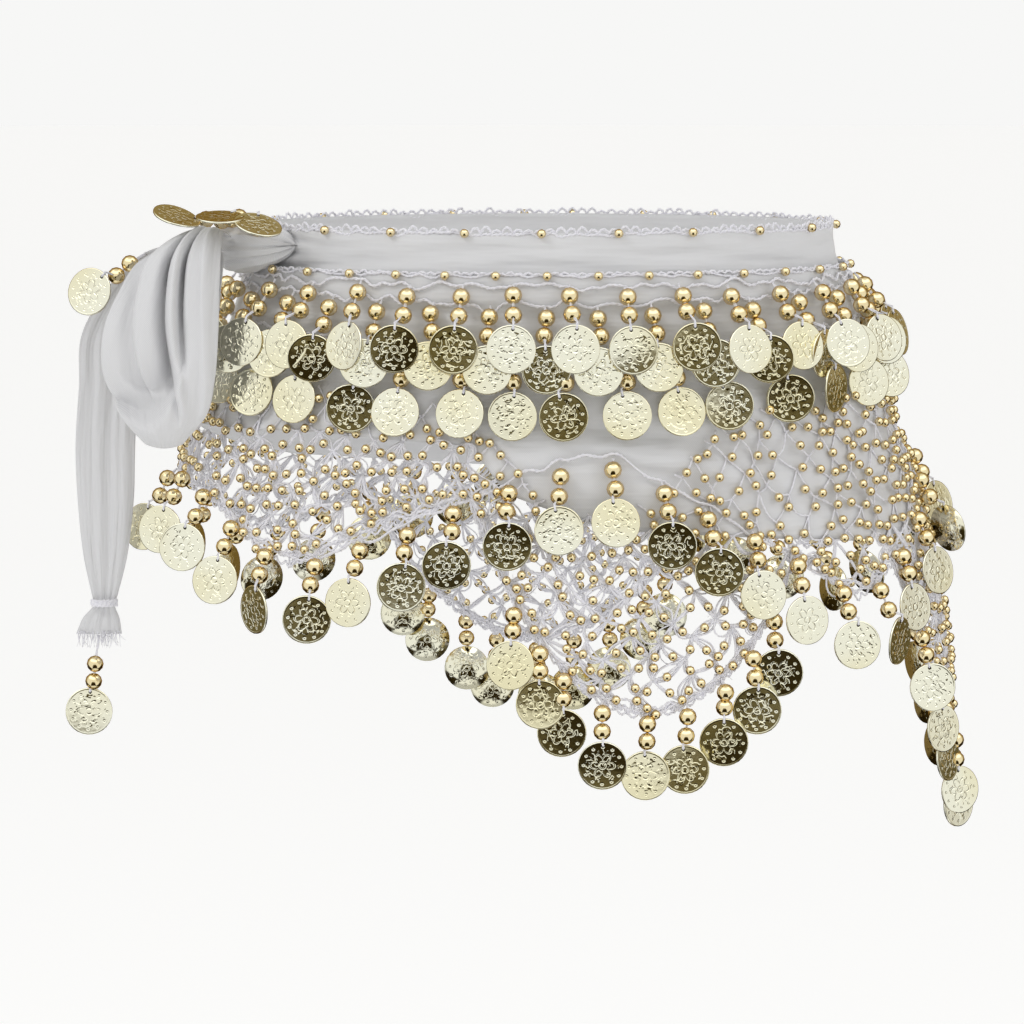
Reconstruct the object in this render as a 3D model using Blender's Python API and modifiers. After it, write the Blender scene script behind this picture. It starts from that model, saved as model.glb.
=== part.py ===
"""A belly dance hip skirt: a chiffon scarf tied round the hips, with crocheted net and coin drops.

The scarf keeps the hollow form of a worn one. The back of the hips faces -Y, and the knot is at -X.
Heights are measured from the line where the scarf is tied, which is close to the panel's top edge.
"""

import bmesh
import bpy
import numpy as np
from mathutils import Matrix, Vector

MM = 0.001

# Hips: half widths across and in depth, at the scarf's rim and at its lowest point
RIM_HEIGHT = 21.0
FULL_HEIGHT = -190.0
RIM_HALF_WIDTH, FULL_HALF_WIDTH = 129.0, 178.0
RIM_HALF_DEPTH, FULL_HALF_DEPTH = 86.0, 108.0
HIP_CURVE = 1.4

# Cloth and yarn
CLOTH_WALL = 1.2
NET_WALL = 1.2
BAND_INSET = 2.9
BAND_FOOT = -11.0
PANEL_TOP = 4.0
PANEL_COLUMNS, PANEL_ROWS = 56, 8
BAND_COLUMNS, BAND_ROWS = 48, 3
CREASE_DEPTH = 1.8
CREASE_WAVES = 2.6
CREASE_SWINGS = ((0.28, 2.0, 40.0), (0.12, 5.0, 0.0))  # share of a wave, waves round, start in degrees
YARN_HALF = 0.9
TAPE_HEIGHT = 2.2
NET_ROWS = 4
NET_TOP_INSET = 3.0
NET_OVERLAP = 3.0
NET_MIDDLE = -100.0
SEAM_GAP = 0.3

# Coin drops: two large beads over a coin, on a crocheted chain
DROP_PITCH = 22.5
COIN_RADIUS = 10.4
COIN_HALF_THICKNESS = 0.45
BEAD_HALF_WIDTH, BEAD_HALF_DEPTH = 3.5, 3.0
CHAIN_HALF_DEPTH, CHAIN_HALF_HEIGHT = 0.8, 1.0
THREAD_HALF_WIDTH = 1.0
FIRST_BEAD, NECK, SECOND_BEAD, COIN_TOP, COIN_CENTRE = 4.6, 8.3, 12.1, 17.2, 26.2
HEXAGON_RISE = 0.866
MEASURE_STEPS = 1500
SLOPE_REACH = 0.5

# Lower edge of the chiffon: angle round from the back, height
PANEL_EDGE = (
    # angle, height
    (-90.0, -66.0),
    (-40.0, -64.0),
    (-12.0, -68.0),
    (-6.0, -88.0),
    (9.0, -103.0),
    (52.0, -112.0),
    (90.0, -110.0),
    (135.0, -98.0),
    (180.0, -98.0),
    (225.0, -88.0),
    (270.0, -66.0),
)

# Scalloped hem of the net: angle, height, net cells up to the next row, and how full the edge is
HEM = (
    # angle, height, cells, fullness
    (-97.0, -90.0, 2, 1.0),
    (-67.0, -84.0, 2, 1.2),
    (-40.0, -119.0, 2, 1.0),
    (-11.8, -88.0, 3, 1.9),
    (13.4, -180.0, 3, 1.9),
    (38.5, -116.0, 1, 1.0),
    (50.5, -135.0, 1, 1.0),
    (61.0, -122.0, 3, 1.9),
    (90.0, -210.0, 3, 1.9),
    (118.0, -114.0, 2, 1.0),
    (136.0, -130.0, 2, 1.0),
    (153.0, -106.0, 3, 1.9),
    (181.0, -178.0, 3, 1.9),
    (209.0, -106.0, 2, 1.0),
    (226.0, -124.0, 2, 1.0),
    (262.7, -88.0, 0, 1.0),
)
NET_BACK_LAST = 7

# The arched chain that rises over each deep point: angle, height
ARCH = (
    # angle, height
    (-86.0, -86.0),
    (-66.0, -83.0),
    (-48.0, -110.0),
    (-38.0, -120.0),
    (7.6, -68.0),
    (50.5, -135.0),
    (92.0, -74.0),
    (136.0, -130.0),
    (180.0, -72.0),
    (226.0, -124.0),
    (250.0, -92.0),
)
ARCH_ROUNDING = 5.0

# Level chains: name, height at the sides, sag at the back and front, shift round, profile of the drops
CHAINS = (
    # name, height, sag, shift, profile
    ("coin_row_top", -0.6, 0.2, 0.3, "top"),
    ("coin_row_middle", -4.0, 5.0, 12.8, "middle"),
    ("coin_row_lower", -18.0, 11.5, 7.2, "low"),
)
CHAIN_START, CHAIN_END = -87.0, 243.0

# Deep points of the hem with a chain of their own: name, angle of the tip, drops on each side of it
POINTS = (
    # name, angle, drops
    ("point_coins_back", 13.4, 4),
    ("point_coins_side", 90.0, 4),
    ("point_coins_front", 181.0, 4),
)
POINT_PITCH, POINT_REACH, POINT_LEAD = 18.5, 27.0, 1.0

# Distance of a drop from the cloth, at its chain, first bead, neck, second bead and coin
PROFILES = {
    "top": (2.4, 6.2, 7.8, 9.4, 12.2),
    "middle": (2.4, 5.6, 6.4, 7.2, 9.3),
    "low": (2.4, 5.0, 5.0, 5.0, 5.0),
    "arch": (2.4, 5.0, 5.8, 6.6, 7.5),
    "point": (1.3, 3.7, 3.7, 3.7, 3.7),
    "loose": (0.0, 0.0, 0.0, 0.0, 0.0),
}

# Knot, half bow and tail at the left hip
KNOT_ANGLE, KNOT_HEIGHT, KNOT_OUT = -70.0, 13.5, 9.4
KNOT_RADII = (11.6, 12.0)
KNOT_SEGMENTS, KNOT_RINGS = 14, 9
KNOT_WAIST, KNOT_LOBE = 0.86, 0.10

BOW = (
    # y, z, left x, right x, fold
    (-43.6, 17.8, -143.5, -135.5, 0.1),
    (-55.0, 21.5, -156.0, -141.0, 0.5),
    (-65.0, 12.0, -174.0, -143.5, 1.0),
    (-68.0, -4.0, -183.0, -143.5, 1.0),
    (-69.0, -22.0, -189.0, -142.0, 1.0),
    (-68.5, -42.0, -189.5, -141.5, 1.0),
    (-66.0, -58.0, -183.0, -145.0, 0.8),
    (-60.0, -70.0, -174.0, -154.0, 0.5),
    (-54.0, -72.0, -172.0, -156.0, 0.3),
    (-49.0, -62.0, -178.0, -150.0, 0.4),
    (-47.0, -44.0, -186.0, -147.0, 0.5),
    (-47.0, -22.0, -186.0, -147.0, 0.5),
    (-47.5, -4.0, -178.0, -147.0, 0.4),
    (-47.6, 6.0, -162.0, -146.0, 0.3),
    (-42.8, 10.0, -147.5, -139.0, 0.1),
)
BOW_COLUMNS, BOW_FOLDS, BOW_FOLD_DEPTH = 12, 3.4, 2.6
FOLD_DRIFT = 0.006

TAIL = (
    # y, z, left x, right x, fold
    (-31.6, 13.5, -152.0, -141.4, 0.1),
    (-28.0, 10.0, -172.0, -157.0, 0.5),
    (-24.0, -2.0, -187.0, -167.0, 0.8),
    (-20.0, -26.0, -202.0, -176.0, 1.0),
    (-17.0, -50.0, -204.0, -178.5, 1.0),
    (-14.0, -76.0, -206.0, -180.0, 1.0),
    (-12.0, -100.0, -205.5, -181.0, 1.0),
    (-10.0, -124.0, -203.5, -184.0, 0.8),
    (-9.0, -142.0, -200.0, -188.5, 0.5),
    (-9.0, -147.0, -199.0, -190.0, 0.4),
    (-9.0, -153.0, -204.0, -188.0, 0.8),
    (-9.0, -160.0, -207.0, -187.0, 1.0),
)
TAIL_COLUMNS, TAIL_FOLDS, TAIL_FOLD_DEPTH = 8, 2.4, 3.2

# Drops that hang alone: name, root, way down, way out, extra thread
LOOSE_DROPS = (
    # name, root, down, out, lead
    ("knot_coin_left", (-136.0, -39.2, 23.7), (-0.86, -0.50, 0.12), (0.1, -0.35, 0.93), 0.0),
    ("knot_coin_middle", (-130.4, -39.6, 25.1), (-0.34, -0.94, 0.03), (0.05, 0.0, 1.0), 0.0),
    ("knot_coin_right", (-123.8, -41.6, 21.2), (0.06, -0.99, 0.03), (0.25, 0.02, 0.95), 0.0),
    ("tail_edge_coin", (-173.0, -29.4, 9.4), (-0.78, -0.27, -0.57), (-0.3, -0.9, 0.3), 4.0),
    ("tail_tip_coin", (-197.0, -8.3, -160.6), (-0.13, 0.0, -1.0), (0.0, -1.0, 0.0), 8.0),
)

CHIFFON = ("silver grey chiffon", (0.60, 0.60, 0.63), 0.55, 0.0)
YARN = ("white crochet yarn", (0.85, 0.84, 0.88), 0.6, 0.0)
GOLD = ("pale gold coins and beads", (0.83, 0.72, 0.42), 0.2, 1.0)


def half_axes(height):
    """Half width and half depth of the hips at a height: they widen from the rim down, by a power of a sine."""
    share = np.clip((RIM_HEIGHT - height) / (RIM_HEIGHT - FULL_HEIGHT), 0.0, 1.0)
    widened = np.sin(0.5 * np.pi * share) ** HIP_CURVE
    wide = RIM_HALF_WIDTH + (FULL_HALF_WIDTH - RIM_HALF_WIDTH) * widened
    deep = RIM_HALF_DEPTH + (FULL_HALF_DEPTH - RIM_HALF_DEPTH) * widened
    return wide, deep


def outward(angle, height):
    """Level unit vector that points out of the hips' ellipse."""
    wide, deep = half_axes(height)
    turn = np.radians(angle)
    out = np.stack([np.sin(turn) / wide, -np.cos(turn) / deep, np.zeros_like(turn * wide)], axis=-1)
    return out / np.linalg.norm(out, axis=-1, keepdims=True)


def on_hips(angle, height, out):
    """Point in millimetres on the hips' ellipse at an angle round from the back, moved out from it."""
    angle, height, out = np.broadcast_arrays(*np.atleast_1d(angle, height, out))
    wide, deep = half_axes(height)
    turn = np.radians(angle)
    point = np.stack([wide * np.sin(turn), -deep * np.cos(turn), height], axis=-1)
    return point + outward(angle, height) * out[..., None]


def panel_edge(angle):
    """Height of the chiffon's lower edge, round and round."""
    rows = np.array(PANEL_EDGE)
    return np.interp((angle + 90.0) % 360.0 - 90.0, rows[:, 0], rows[:, 1])


def hem_height(angle):
    """Height of the net's hem: from each peak the edge falls fast, then flattens towards the point."""
    angle = np.atleast_1d(angle)
    height = np.zeros_like(angle, dtype=float)
    for first, second in zip(HEM[:-1], HEM[1:]):
        peak, tip = (first, second) if first[1] > second[1] else (second, first)
        share = np.clip((angle - peak[0]) / (tip[0] - peak[0]), 0.0, 1.0)
        fallen = 1.0 - (1.0 - share) ** first[3]
        inside = (angle >= first[0]) & (angle <= second[0])
        height = np.where(inside, peak[1] + (tip[1] - peak[1]) * fallen, height)
    return height


def arch_height(angle):
    """Height of the arched chain, with its peaks and valleys rounded over a few degrees."""
    rows = np.array(ARCH)
    steps = np.linspace(-ARCH_ROUNDING, ARCH_ROUNDING, 9)
    around = np.interp(np.atleast_1d(angle)[:, None] + steps, rows[:, 0], rows[:, 1])
    return around.mean(axis=1)


def spaced_angles(height_of, start, end, shift, pitch=DROP_PITCH):
    """Angles of the drops on a chain that are one pitch apart along it."""
    fine = np.linspace(start, end, MEASURE_STEPS)
    points = on_hips(fine, height_of(fine), 0.0)
    run = np.concatenate([[0.0], np.cumsum(np.linalg.norm(np.diff(points, axis=0), axis=1))])
    return np.interp(np.arange(shift, run[-1], pitch), run, fine)


def material(finish):
    """The finish's material, made the first time that it is asked for."""
    name, colour, roughness, metallic = finish
    if name in bpy.data.materials:
        return bpy.data.materials[name]
    made = bpy.data.materials.new(name)
    made.use_nodes = True
    shader = made.node_tree.nodes["Principled BSDF"]
    shader.inputs["Base Color"].default_value = (*colour, 1.0)
    shader.inputs["Roughness"].default_value = roughness
    shader.inputs["Metallic"].default_value = metallic
    return made


def add_piece(name, points, faces, finish, wall=0.0):
    """One named object from points in millimetres. A wall makes an open surface solid, inwards."""
    mesh = bpy.data.meshes.new(name)
    mesh.from_pydata((np.asarray(points) * MM).tolist(), [], faces)
    mesh.validate()
    mesh.materials.append(material(finish))
    piece = bpy.data.objects.new(name, mesh)
    parts.objects.link(piece)
    if wall:
        solidify = piece.modifiers.new("wall", "SOLIDIFY")
        solidify.thickness = wall * MM
        solidify.offset = -1.0
    return piece


def grid_faces(rows, columns, closed):
    """Quads over a grid of points, with the last column joined to the first on a closed one."""
    faces = []
    for row in range(rows - 1):
        for column in range(columns if closed else columns - 1):
            after = (column + 1) % columns
            low, high = row * columns, (row + 1) * columns
            faces.append((low + column, high + column, high + after, low + after))
    return faces


def add_tube(name, rows, columns, heights, outs, finish):
    """A closed cloth tube: heights and outs are functions of the angle and of the share of the way down."""
    angle = np.linspace(-180.0, 180.0, columns, endpoint=False)
    share = np.linspace(0.0, 1.0, rows + 1)
    angle, share = np.meshgrid(angle, share)
    points = on_hips(angle, heights(angle, share), outs(angle, share)).reshape(-1, 3)
    return add_piece(name, points, grid_faces(rows + 1, columns, closed=True), finish, CLOTH_WALL)


def add_inner_band():
    """The upper chiffon layer, which goes round first and shows above the panel."""
    add_tube(
        "inner_band",
        BAND_ROWS,
        BAND_COLUMNS,
        lambda angle, share: RIM_HEIGHT + (BAND_FOOT - RIM_HEIGHT) * share,
        lambda angle, share: -BAND_INSET + 0.0 * angle,
        CHIFFON,
    )


def crease(angle, share):
    """Depth of the level drag creases of the panel, none at its edges."""
    swing = sum(size * np.sin(np.radians(waves * angle + start)) for size, waves, start in CREASE_SWINGS)
    wave = 0.5 + 0.5 * np.sin(2.0 * np.pi * (CREASE_WAVES * share + swing))
    return -CREASE_DEPTH * wave * np.sin(np.pi * share)


def add_hip_panel():
    """The main chiffon panel, with soft creases and a slanting lower edge."""
    add_tube(
        "hip_panel",
        PANEL_ROWS,
        PANEL_COLUMNS,
        lambda angle, share: PANEL_TOP + (panel_edge(angle) - PANEL_TOP) * share,
        crease,
        CHIFFON,
    )


def net_columns(first, last):
    """Angles of the net's knots between two rows of the hem's table, each span cut into its own cells."""
    angles = [HEM[first][0]]
    for row in range(first, last):
        start, end, cells = HEM[row][0], HEM[row + 1][0], HEM[row][2]
        angles += [start + (end - start) * (cell + 1) / (2 * cells) for cell in range(2 * cells)]
    return np.array(angles)


def add_net(name, first, last, trim_start):
    """A stretch of crocheted net: diamonds between a tape under the chiffon and a tape along the hem."""
    angles = net_columns(first, last)
    angles[0] += trim_start
    points, faces = [], []

    def spot(column, row, side, rise):
        """A point beside the knot of a column and row, in the net's own directions."""
        share = row / NET_ROWS
        angle = angles[column]
        wide, deep = half_axes(NET_MIDDLE)
        per_degree = np.radians(1.0) * np.hypot(
            wide * np.cos(np.radians(angle)), deep * np.sin(np.radians(angle))
        )
        angle = np.clip(angle + side / per_degree, angles[0], angles[-1])
        top = panel_edge(angle) + NET_OVERLAP
        foot = hem_height(angle)[0]
        height = top + (foot - top) * share + rise
        inset = -NET_TOP_INSET * max(0.0, 1.0 - 2.0 * share)
        points.append(on_hips(angle, height, inset)[0])
        return len(points) - 1

    def tape(row, inner_rise, outer_rise):
        """Three points of each knot on the tape's inner edge, with the tape's quads."""
        knots = {}
        before = None
        for column in range(0, len(angles), 2):
            inner = [spot(column, row, side, inner_rise) for side in (-2 * YARN_HALF, 0.0, 2 * YARN_HALF)]
            outer = [spot(column, row, side, outer_rise) for side in (-2 * YARN_HALF, 0.0, 2 * YARN_HALF)]
            if column == 0:
                inner, outer = inner[1:], outer[1:]
            if column == len(angles) - 1:
                inner, outer = inner[:2], outer[:2]
            pairs = list(zip(inner, outer))
            if before:
                pairs = [before] + pairs
            for (a, b), (c, d) in zip(pairs[:-1], pairs[1:]):
                faces.append((a, c, d, b) if outer_rise > inner_rise else (a, b, d, c))
            before = pairs[-1]
            if column == 0:
                inner = [None] + inner
            knots[column] = inner
        return knots

    top = tape(0, 0.0, TAPE_HEIGHT)
    foot = tape(NET_ROWS, TAPE_HEIGHT, 0.0)
    knots = {}
    for row in range(1, NET_ROWS):
        for column in range(row % 2, len(angles), 2):
            north = spot(column, row, 0.0, 1.4 * YARN_HALF)
            south = spot(column, row, 0.0, -1.4 * YARN_HALF)
            west = spot(column, row, -1.6 * YARN_HALF, 0.0) if column > 0 else None
            east = spot(column, row, 1.6 * YARN_HALF, 0.0) if column < len(angles) - 1 else None
            knots[column, row] = (north, east, south, west)
            faces.append(tuple(p for p in (north, west, south, east) if p is not None))
    for row in range(NET_ROWS):
        for column in range(row % 2, len(angles), 2):
            for step in (-1, 1):
                other = column + step
                if not 0 <= other < len(angles):
                    continue
                if row == 0:
                    inner = top[column]
                    left, right = (inner[0], inner[1]) if step < 0 else (inner[1], inner[2])
                else:
                    north, east, south, west = knots[column, row]
                    left, right = (west, south) if step < 0 else (south, east)
                if row + 1 == NET_ROWS:
                    inner = foot[other]
                    low_left, low_right = (inner[1], inner[2]) if step < 0 else (inner[0], inner[1])
                else:
                    north, east, south, west = knots[other, row + 1]
                    low_left, low_right = (north, east) if step < 0 else (west, north)
                faces.append((left, low_left, low_right, right))
    add_piece(name, points, faces, YARN, NET_WALL)


def drop_rings(profile, lead):
    """Distance down, distance out, half width and half depth of a drop's sections, below its root."""
    first_out, neck_out, second_out, coin_out = profile[1:]
    return (
        (FIRST_BEAD + lead, first_out, BEAD_HALF_WIDTH, BEAD_HALF_DEPTH),
        (NECK + lead, neck_out, THREAD_HALF_WIDTH, CHAIN_HALF_DEPTH),
        (SECOND_BEAD + lead, second_out, BEAD_HALF_WIDTH, BEAD_HALF_DEPTH),
        (COIN_TOP + lead, coin_out, COIN_RADIUS / 2, COIN_HALF_THICKNESS),
        (COIN_CENTRE + lead, coin_out, COIN_RADIUS, COIN_HALF_THICKNESS),
        (COIN_CENTRE + lead + HEXAGON_RISE * COIN_RADIUS, coin_out, COIN_RADIUS / 2, COIN_HALF_THICKNESS),
    )


def corners(centre, side, out, half_width, half_depth):
    """The four corners of a section, round from the left inner one."""
    return [
        centre - side * half_width - out * half_depth,
        centre + side * half_width - out * half_depth,
        centre + side * half_width + out * half_depth,
        centre - side * half_width + out * half_depth,
    ]


def hang_drop(points, faces, root, rings):
    """Joins a drop's sections below the four points of its root, and closes the coin's foot."""
    upper = root
    for ring in rings:
        lower = list(range(len(points), len(points) + 4))
        points.extend(ring)
        for k in range(4):
            faces.append((upper[k], upper[(k + 1) % 4], lower[(k + 1) % 4], lower[k]))
        upper = lower
    faces.append(tuple(upper))


def add_coin_chain(name, angles, height_of, profile, lead=0.0):
    """A three-sided chain along the cloth, with a drop hung from its underside at each angle."""
    points, faces = [], []
    before = None
    for angle in angles:
        height = float(height_of(np.atleast_1d(angle))[0])
        out = outward(np.array(angle), height)
        side = np.array([-out[1], out[0], 0.0])
        beside = np.array([angle - SLOPE_REACH, angle + SLOPE_REACH])
        chain = on_hips(angle, height, PROFILES[profile][0])[0]
        reach = np.linalg.norm(np.diff(on_hips(beside, height, 0.0), axis=0))
        rise = np.diff(height_of(beside))[0] / reach * THREAD_HALF_WIDTH
        down = np.array([0.0, 0.0, CHAIN_HALF_HEIGHT])
        rings = []
        for way in (-1.0, 1.0):
            middle = chain + way * side * THREAD_HALF_WIDTH + np.array([0.0, 0.0, way * rise])
            first = len(points)
            points.extend(
                [middle + down, middle - down - out * CHAIN_HALF_DEPTH, middle - down + out * CHAIN_HALF_DEPTH]
            )
            rings.append((first, first + 1, first + 2))
        left, right = rings
        if before is None:
            faces.append((left[0], left[1], left[2]))
        else:
            join_chain(faces, before, left, with_foot=True)
        join_chain(faces, left, right, with_foot=False)
        before = right
        sections = [
            corners(on_hips(angle, height - fall, gap)[0], side, out, half_width, half_depth)
            for fall, gap, half_width, half_depth in drop_rings(PROFILES[profile], lead)
        ]
        hang_drop(points, faces, (left[1], right[1], right[2], left[2]), sections)
    faces.append((before[0], before[2], before[1]))
    add_piece(name, points, faces, GOLD)


def join_chain(faces, left, right, with_foot):
    """Sides of the chain between two of its sections, with the underside only where no drop hangs."""
    faces.append((left[0], left[2], right[2], right[0]))
    faces.append((left[1], left[0], right[0], right[1]))
    if with_foot:
        faces.append((left[2], left[1], right[1], right[2]))


def add_level_chains():
    """Three chains of drops round the top of the panel, each one lower and closer to the cloth."""
    for name, height, sag, shift, profile in CHAINS:
        def height_of(angle, height=height, sag=sag):
            return height - sag * np.cos(np.radians(angle)) ** 2

        angles = spaced_angles(height_of, CHAIN_START, CHAIN_END, shift)
        add_coin_chain(name, angles, height_of, profile)


def add_arch_chain():
    """The chain that follows the shallow points of the hem and rises over the deep ones."""
    angles = spaced_angles(arch_height, ARCH[0][0], ARCH[-1][0], 0.0)
    add_coin_chain("arch_coins", angles, arch_height, "arch")


def add_point_chains():
    """A chain of drops round each deep point, with one drop at its tip."""
    for name, tip, drops in POINTS:
        def mirrored(angle, tip=tip):
            return hem_height(2 * tip - angle)

        right = spaced_angles(hem_height, tip, tip + POINT_REACH, POINT_PITCH, POINT_PITCH)[:drops]
        left = spaced_angles(mirrored, tip, tip + POINT_REACH, POINT_PITCH, POINT_PITCH)[:drops]
        angles = np.concatenate([2 * tip - left[::-1], [tip], right])
        add_coin_chain(name, angles, hem_height, "point", POINT_LEAD)


def add_knot():
    """The tied ends: a round lump with a wrap pulled tight across its middle."""
    bm = bmesh.new()
    bmesh.ops.create_uvsphere(bm, u_segments=KNOT_SEGMENTS, v_segments=KNOT_RINGS, radius=1.0)
    for vertex in bm.verts:
        lobe = KNOT_LOBE * np.cos(3.0 * np.arctan2(vertex.co.y, vertex.co.x)) ** 2
        pull = min(KNOT_WAIST + (1.0 - KNOT_WAIST) * abs(vertex.co.z) + lobe, 1.0)
        vertex.co.x *= pull
        vertex.co.y *= pull
    centre = on_hips(KNOT_ANGLE, KNOT_HEIGHT, KNOT_OUT)[0]
    size = Matrix.Diagonal((KNOT_RADII[0], KNOT_RADII[0], KNOT_RADII[1], 1.0))
    bm.transform(Matrix.Translation(Vector(centre * MM)) @ size @ Matrix.Scale(MM, 4))
    mesh = bpy.data.meshes.new("knot")
    bm.to_mesh(mesh)
    bm.free()
    mesh.materials.append(material(CHIFFON))
    parts.objects.link(bpy.data.objects.new("knot", mesh))


def add_ribbon(name, stations, columns, folds, fold_depth):
    """A gathered ribbon of chiffon through its stations, with long folds down its length."""
    rows = np.array(stations)
    across = np.linspace(0.0, 1.0, columns + 1)
    run = np.concatenate([[0.0], np.cumsum(np.linalg.norm(np.diff(rows[:, :2], axis=0), axis=1))])
    way = np.gradient(rows[:, :2], run, axis=0)
    way /= np.linalg.norm(way, axis=1, keepdims=True)
    wave = np.sin(2.0 * np.pi * folds * across[None, :] + FOLD_DRIFT * run[:, None])
    ripple = fold_depth * rows[:, 4:5] * wave
    x = rows[:, 2:3] + (rows[:, 3:4] - rows[:, 2:3]) * across
    y = rows[:, 0:1] + way[:, 1:2] * ripple
    z = rows[:, 1:2] - way[:, 0:1] * ripple
    points = np.stack([x, y, z], axis=-1).reshape(-1, 3)
    add_piece(name, points, grid_faces(len(rows), columns + 1, closed=False), CHIFFON, CLOTH_WALL)


def add_loose_drops():
    """Drops that hang from the knot and the tail by a thread of their own."""
    for name, root, down, out, lead in LOOSE_DROPS:
        root, down, out = (np.array(v, dtype=float) for v in (root, down, out))
        down /= np.linalg.norm(down)
        out -= down * out.dot(down)
        out /= np.linalg.norm(out)
        side = np.cross(out, down)
        points = corners(root, side, out, THREAD_HALF_WIDTH, CHAIN_HALF_DEPTH)
        faces = [(3, 2, 1, 0)]
        sections = [
            corners(root + down * fall + out * gap, side, out, half_width, half_depth)
            for fall, gap, half_width, half_depth in drop_rings(PROFILES["loose"], lead)
        ]
        hang_drop(points, faces, (0, 1, 2, 3), sections)
        add_piece(name, points, faces, GOLD)


for old in list(bpy.data.objects):
    bpy.data.objects.remove(old)
parts = bpy.data.collections.new("belly dance hip skirt")
bpy.context.scene.collection.children.link(parts)

add_inner_band()
add_hip_panel()
add_net("net_back", 0, NET_BACK_LAST, 0.0)
add_net("net_front", NET_BACK_LAST, len(HEM) - 1, SEAM_GAP)
add_level_chains()
add_arch_chain()
add_point_chains()
add_knot()
add_ribbon("bow_loop", BOW, BOW_COLUMNS, BOW_FOLDS, BOW_FOLD_DEPTH)
add_ribbon("tie_tail", TAIL, TAIL_COLUMNS, TAIL_FOLDS, TAIL_FOLD_DEPTH)
add_loose_drops()
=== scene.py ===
"""A belly dance hip skirt on an unseen wearer: chiffon, crocheted net, polished coins and beads.

Sizes are in millimetres, and MM turns them into the frame's metres. Angles go round from the back.
"""

import bpy
import numpy as np
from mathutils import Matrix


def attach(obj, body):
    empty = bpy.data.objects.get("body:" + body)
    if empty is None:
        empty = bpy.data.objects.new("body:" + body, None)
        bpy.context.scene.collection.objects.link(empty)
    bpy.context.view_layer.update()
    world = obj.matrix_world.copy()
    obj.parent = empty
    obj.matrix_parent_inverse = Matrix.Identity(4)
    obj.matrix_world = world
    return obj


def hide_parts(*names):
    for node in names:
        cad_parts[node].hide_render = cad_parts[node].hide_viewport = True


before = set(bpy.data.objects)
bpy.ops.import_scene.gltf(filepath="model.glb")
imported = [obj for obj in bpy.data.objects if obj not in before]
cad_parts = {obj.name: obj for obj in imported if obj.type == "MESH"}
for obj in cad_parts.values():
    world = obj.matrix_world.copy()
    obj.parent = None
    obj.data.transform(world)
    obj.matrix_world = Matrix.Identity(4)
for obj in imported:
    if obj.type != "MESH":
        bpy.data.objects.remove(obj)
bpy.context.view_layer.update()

# Camera: the photograph looks a little down at the back of the hips, from about two metres away.
MM = 0.001
AIM = (-14.6, 0.0, -106.8)
CAMERA_DISTANCE, CAMERA_PITCH, CAMERA_LENS = 2100.0, 6.5, 167.0

pitch = np.radians(CAMERA_PITCH)
camera = bpy.data.objects.new("camera", bpy.data.cameras.new("camera"))
camera.location = (
    AIM[0] * MM,
    (AIM[1] - CAMERA_DISTANCE * np.cos(pitch)) * MM,
    (AIM[2] + CAMERA_DISTANCE * np.sin(pitch)) * MM,
)
camera.rotation_euler = (np.pi / 2 - pitch, 0.0, 0.0)
camera.data.lens = CAMERA_LENS
camera.data.clip_end = 200.0
bpy.context.scene.collection.objects.link(camera)
bpy.context.scene.camera = camera
bpy.context.scene.view_settings.view_transform = "Standard"

# Studio: a white room with soft light, a pale floor as far down as a standing wearer's, and dark
# openings low round the walls, which only the polished metal shows.
FLOOR_HEIGHT, FLOOR_RADIUS = -900.0, 30000.0
KEY_PLACE, KEY_SIZE, KEY_POWER = (-1500.0, -1300.0, 1700.0), 700.0, 13.5
FILL_PLACE, FILL_SIZE, FILL_POWER = (1900.0, -1300.0, 900.0), 1200.0, 7.0
OPENINGS = 3
ROOM_POWER, LAMP_POWER = 0.86, 0.9
BACKDROP = "#f7f7f6"


def linear(code):
    """Linear colour of an sRGB hex code, by the sRGB curve, with an alpha of one."""
    parts = np.array([int(code[k : k + 2], 16) for k in (1, 3, 5)]) / 255.0
    parts = np.where(parts <= 0.04045, parts / 12.92, ((parts + 0.055) / 1.055) ** 2.4)
    return (*parts.tolist(), 1.0)


def add_node(tree, kind, *values, to=None, **settings):
    """Outputs of a new node with its settings. Values or sockets go into its inputs in order, or into the
    inputs that are named or numbered.
    """
    node = tree.nodes.new("ShaderNode" + kind)
    for name, value in settings.items():
        setattr(node, name, value)
    for key, value in (*enumerate(values), *(to or {}).items()):
        if isinstance(value, bpy.types.NodeSocket):
            tree.links.new(value, node.inputs[key])
        else:
            node.inputs[key].default_value = value
    return node.outputs


SMOOTH, COLOUR = {"interpolation_type": "SMOOTHSTEP"}, {"data_type": "RGBA"}


def add_area_light(name, place, size, power):
    """A square soft light, turned towards the skirt's middle by the arctangents of its place. The metal
    doesn't mirror it.
    """
    light = bpy.data.lights.new(name, "AREA")
    light.energy = power
    light.size = size * MM
    holder = bpy.data.objects.new(name, light)
    holder.visible_glossy = False
    holder.location = np.array(place) * MM
    towards = np.array(place) - np.array(AIM)
    level = np.hypot(towards[0], towards[1])
    holder.rotation_euler = (np.arctan2(level, towards[2]), 0.0, np.arctan2(towards[0], -towards[1]))
    bpy.context.scene.collection.objects.link(holder)


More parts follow.
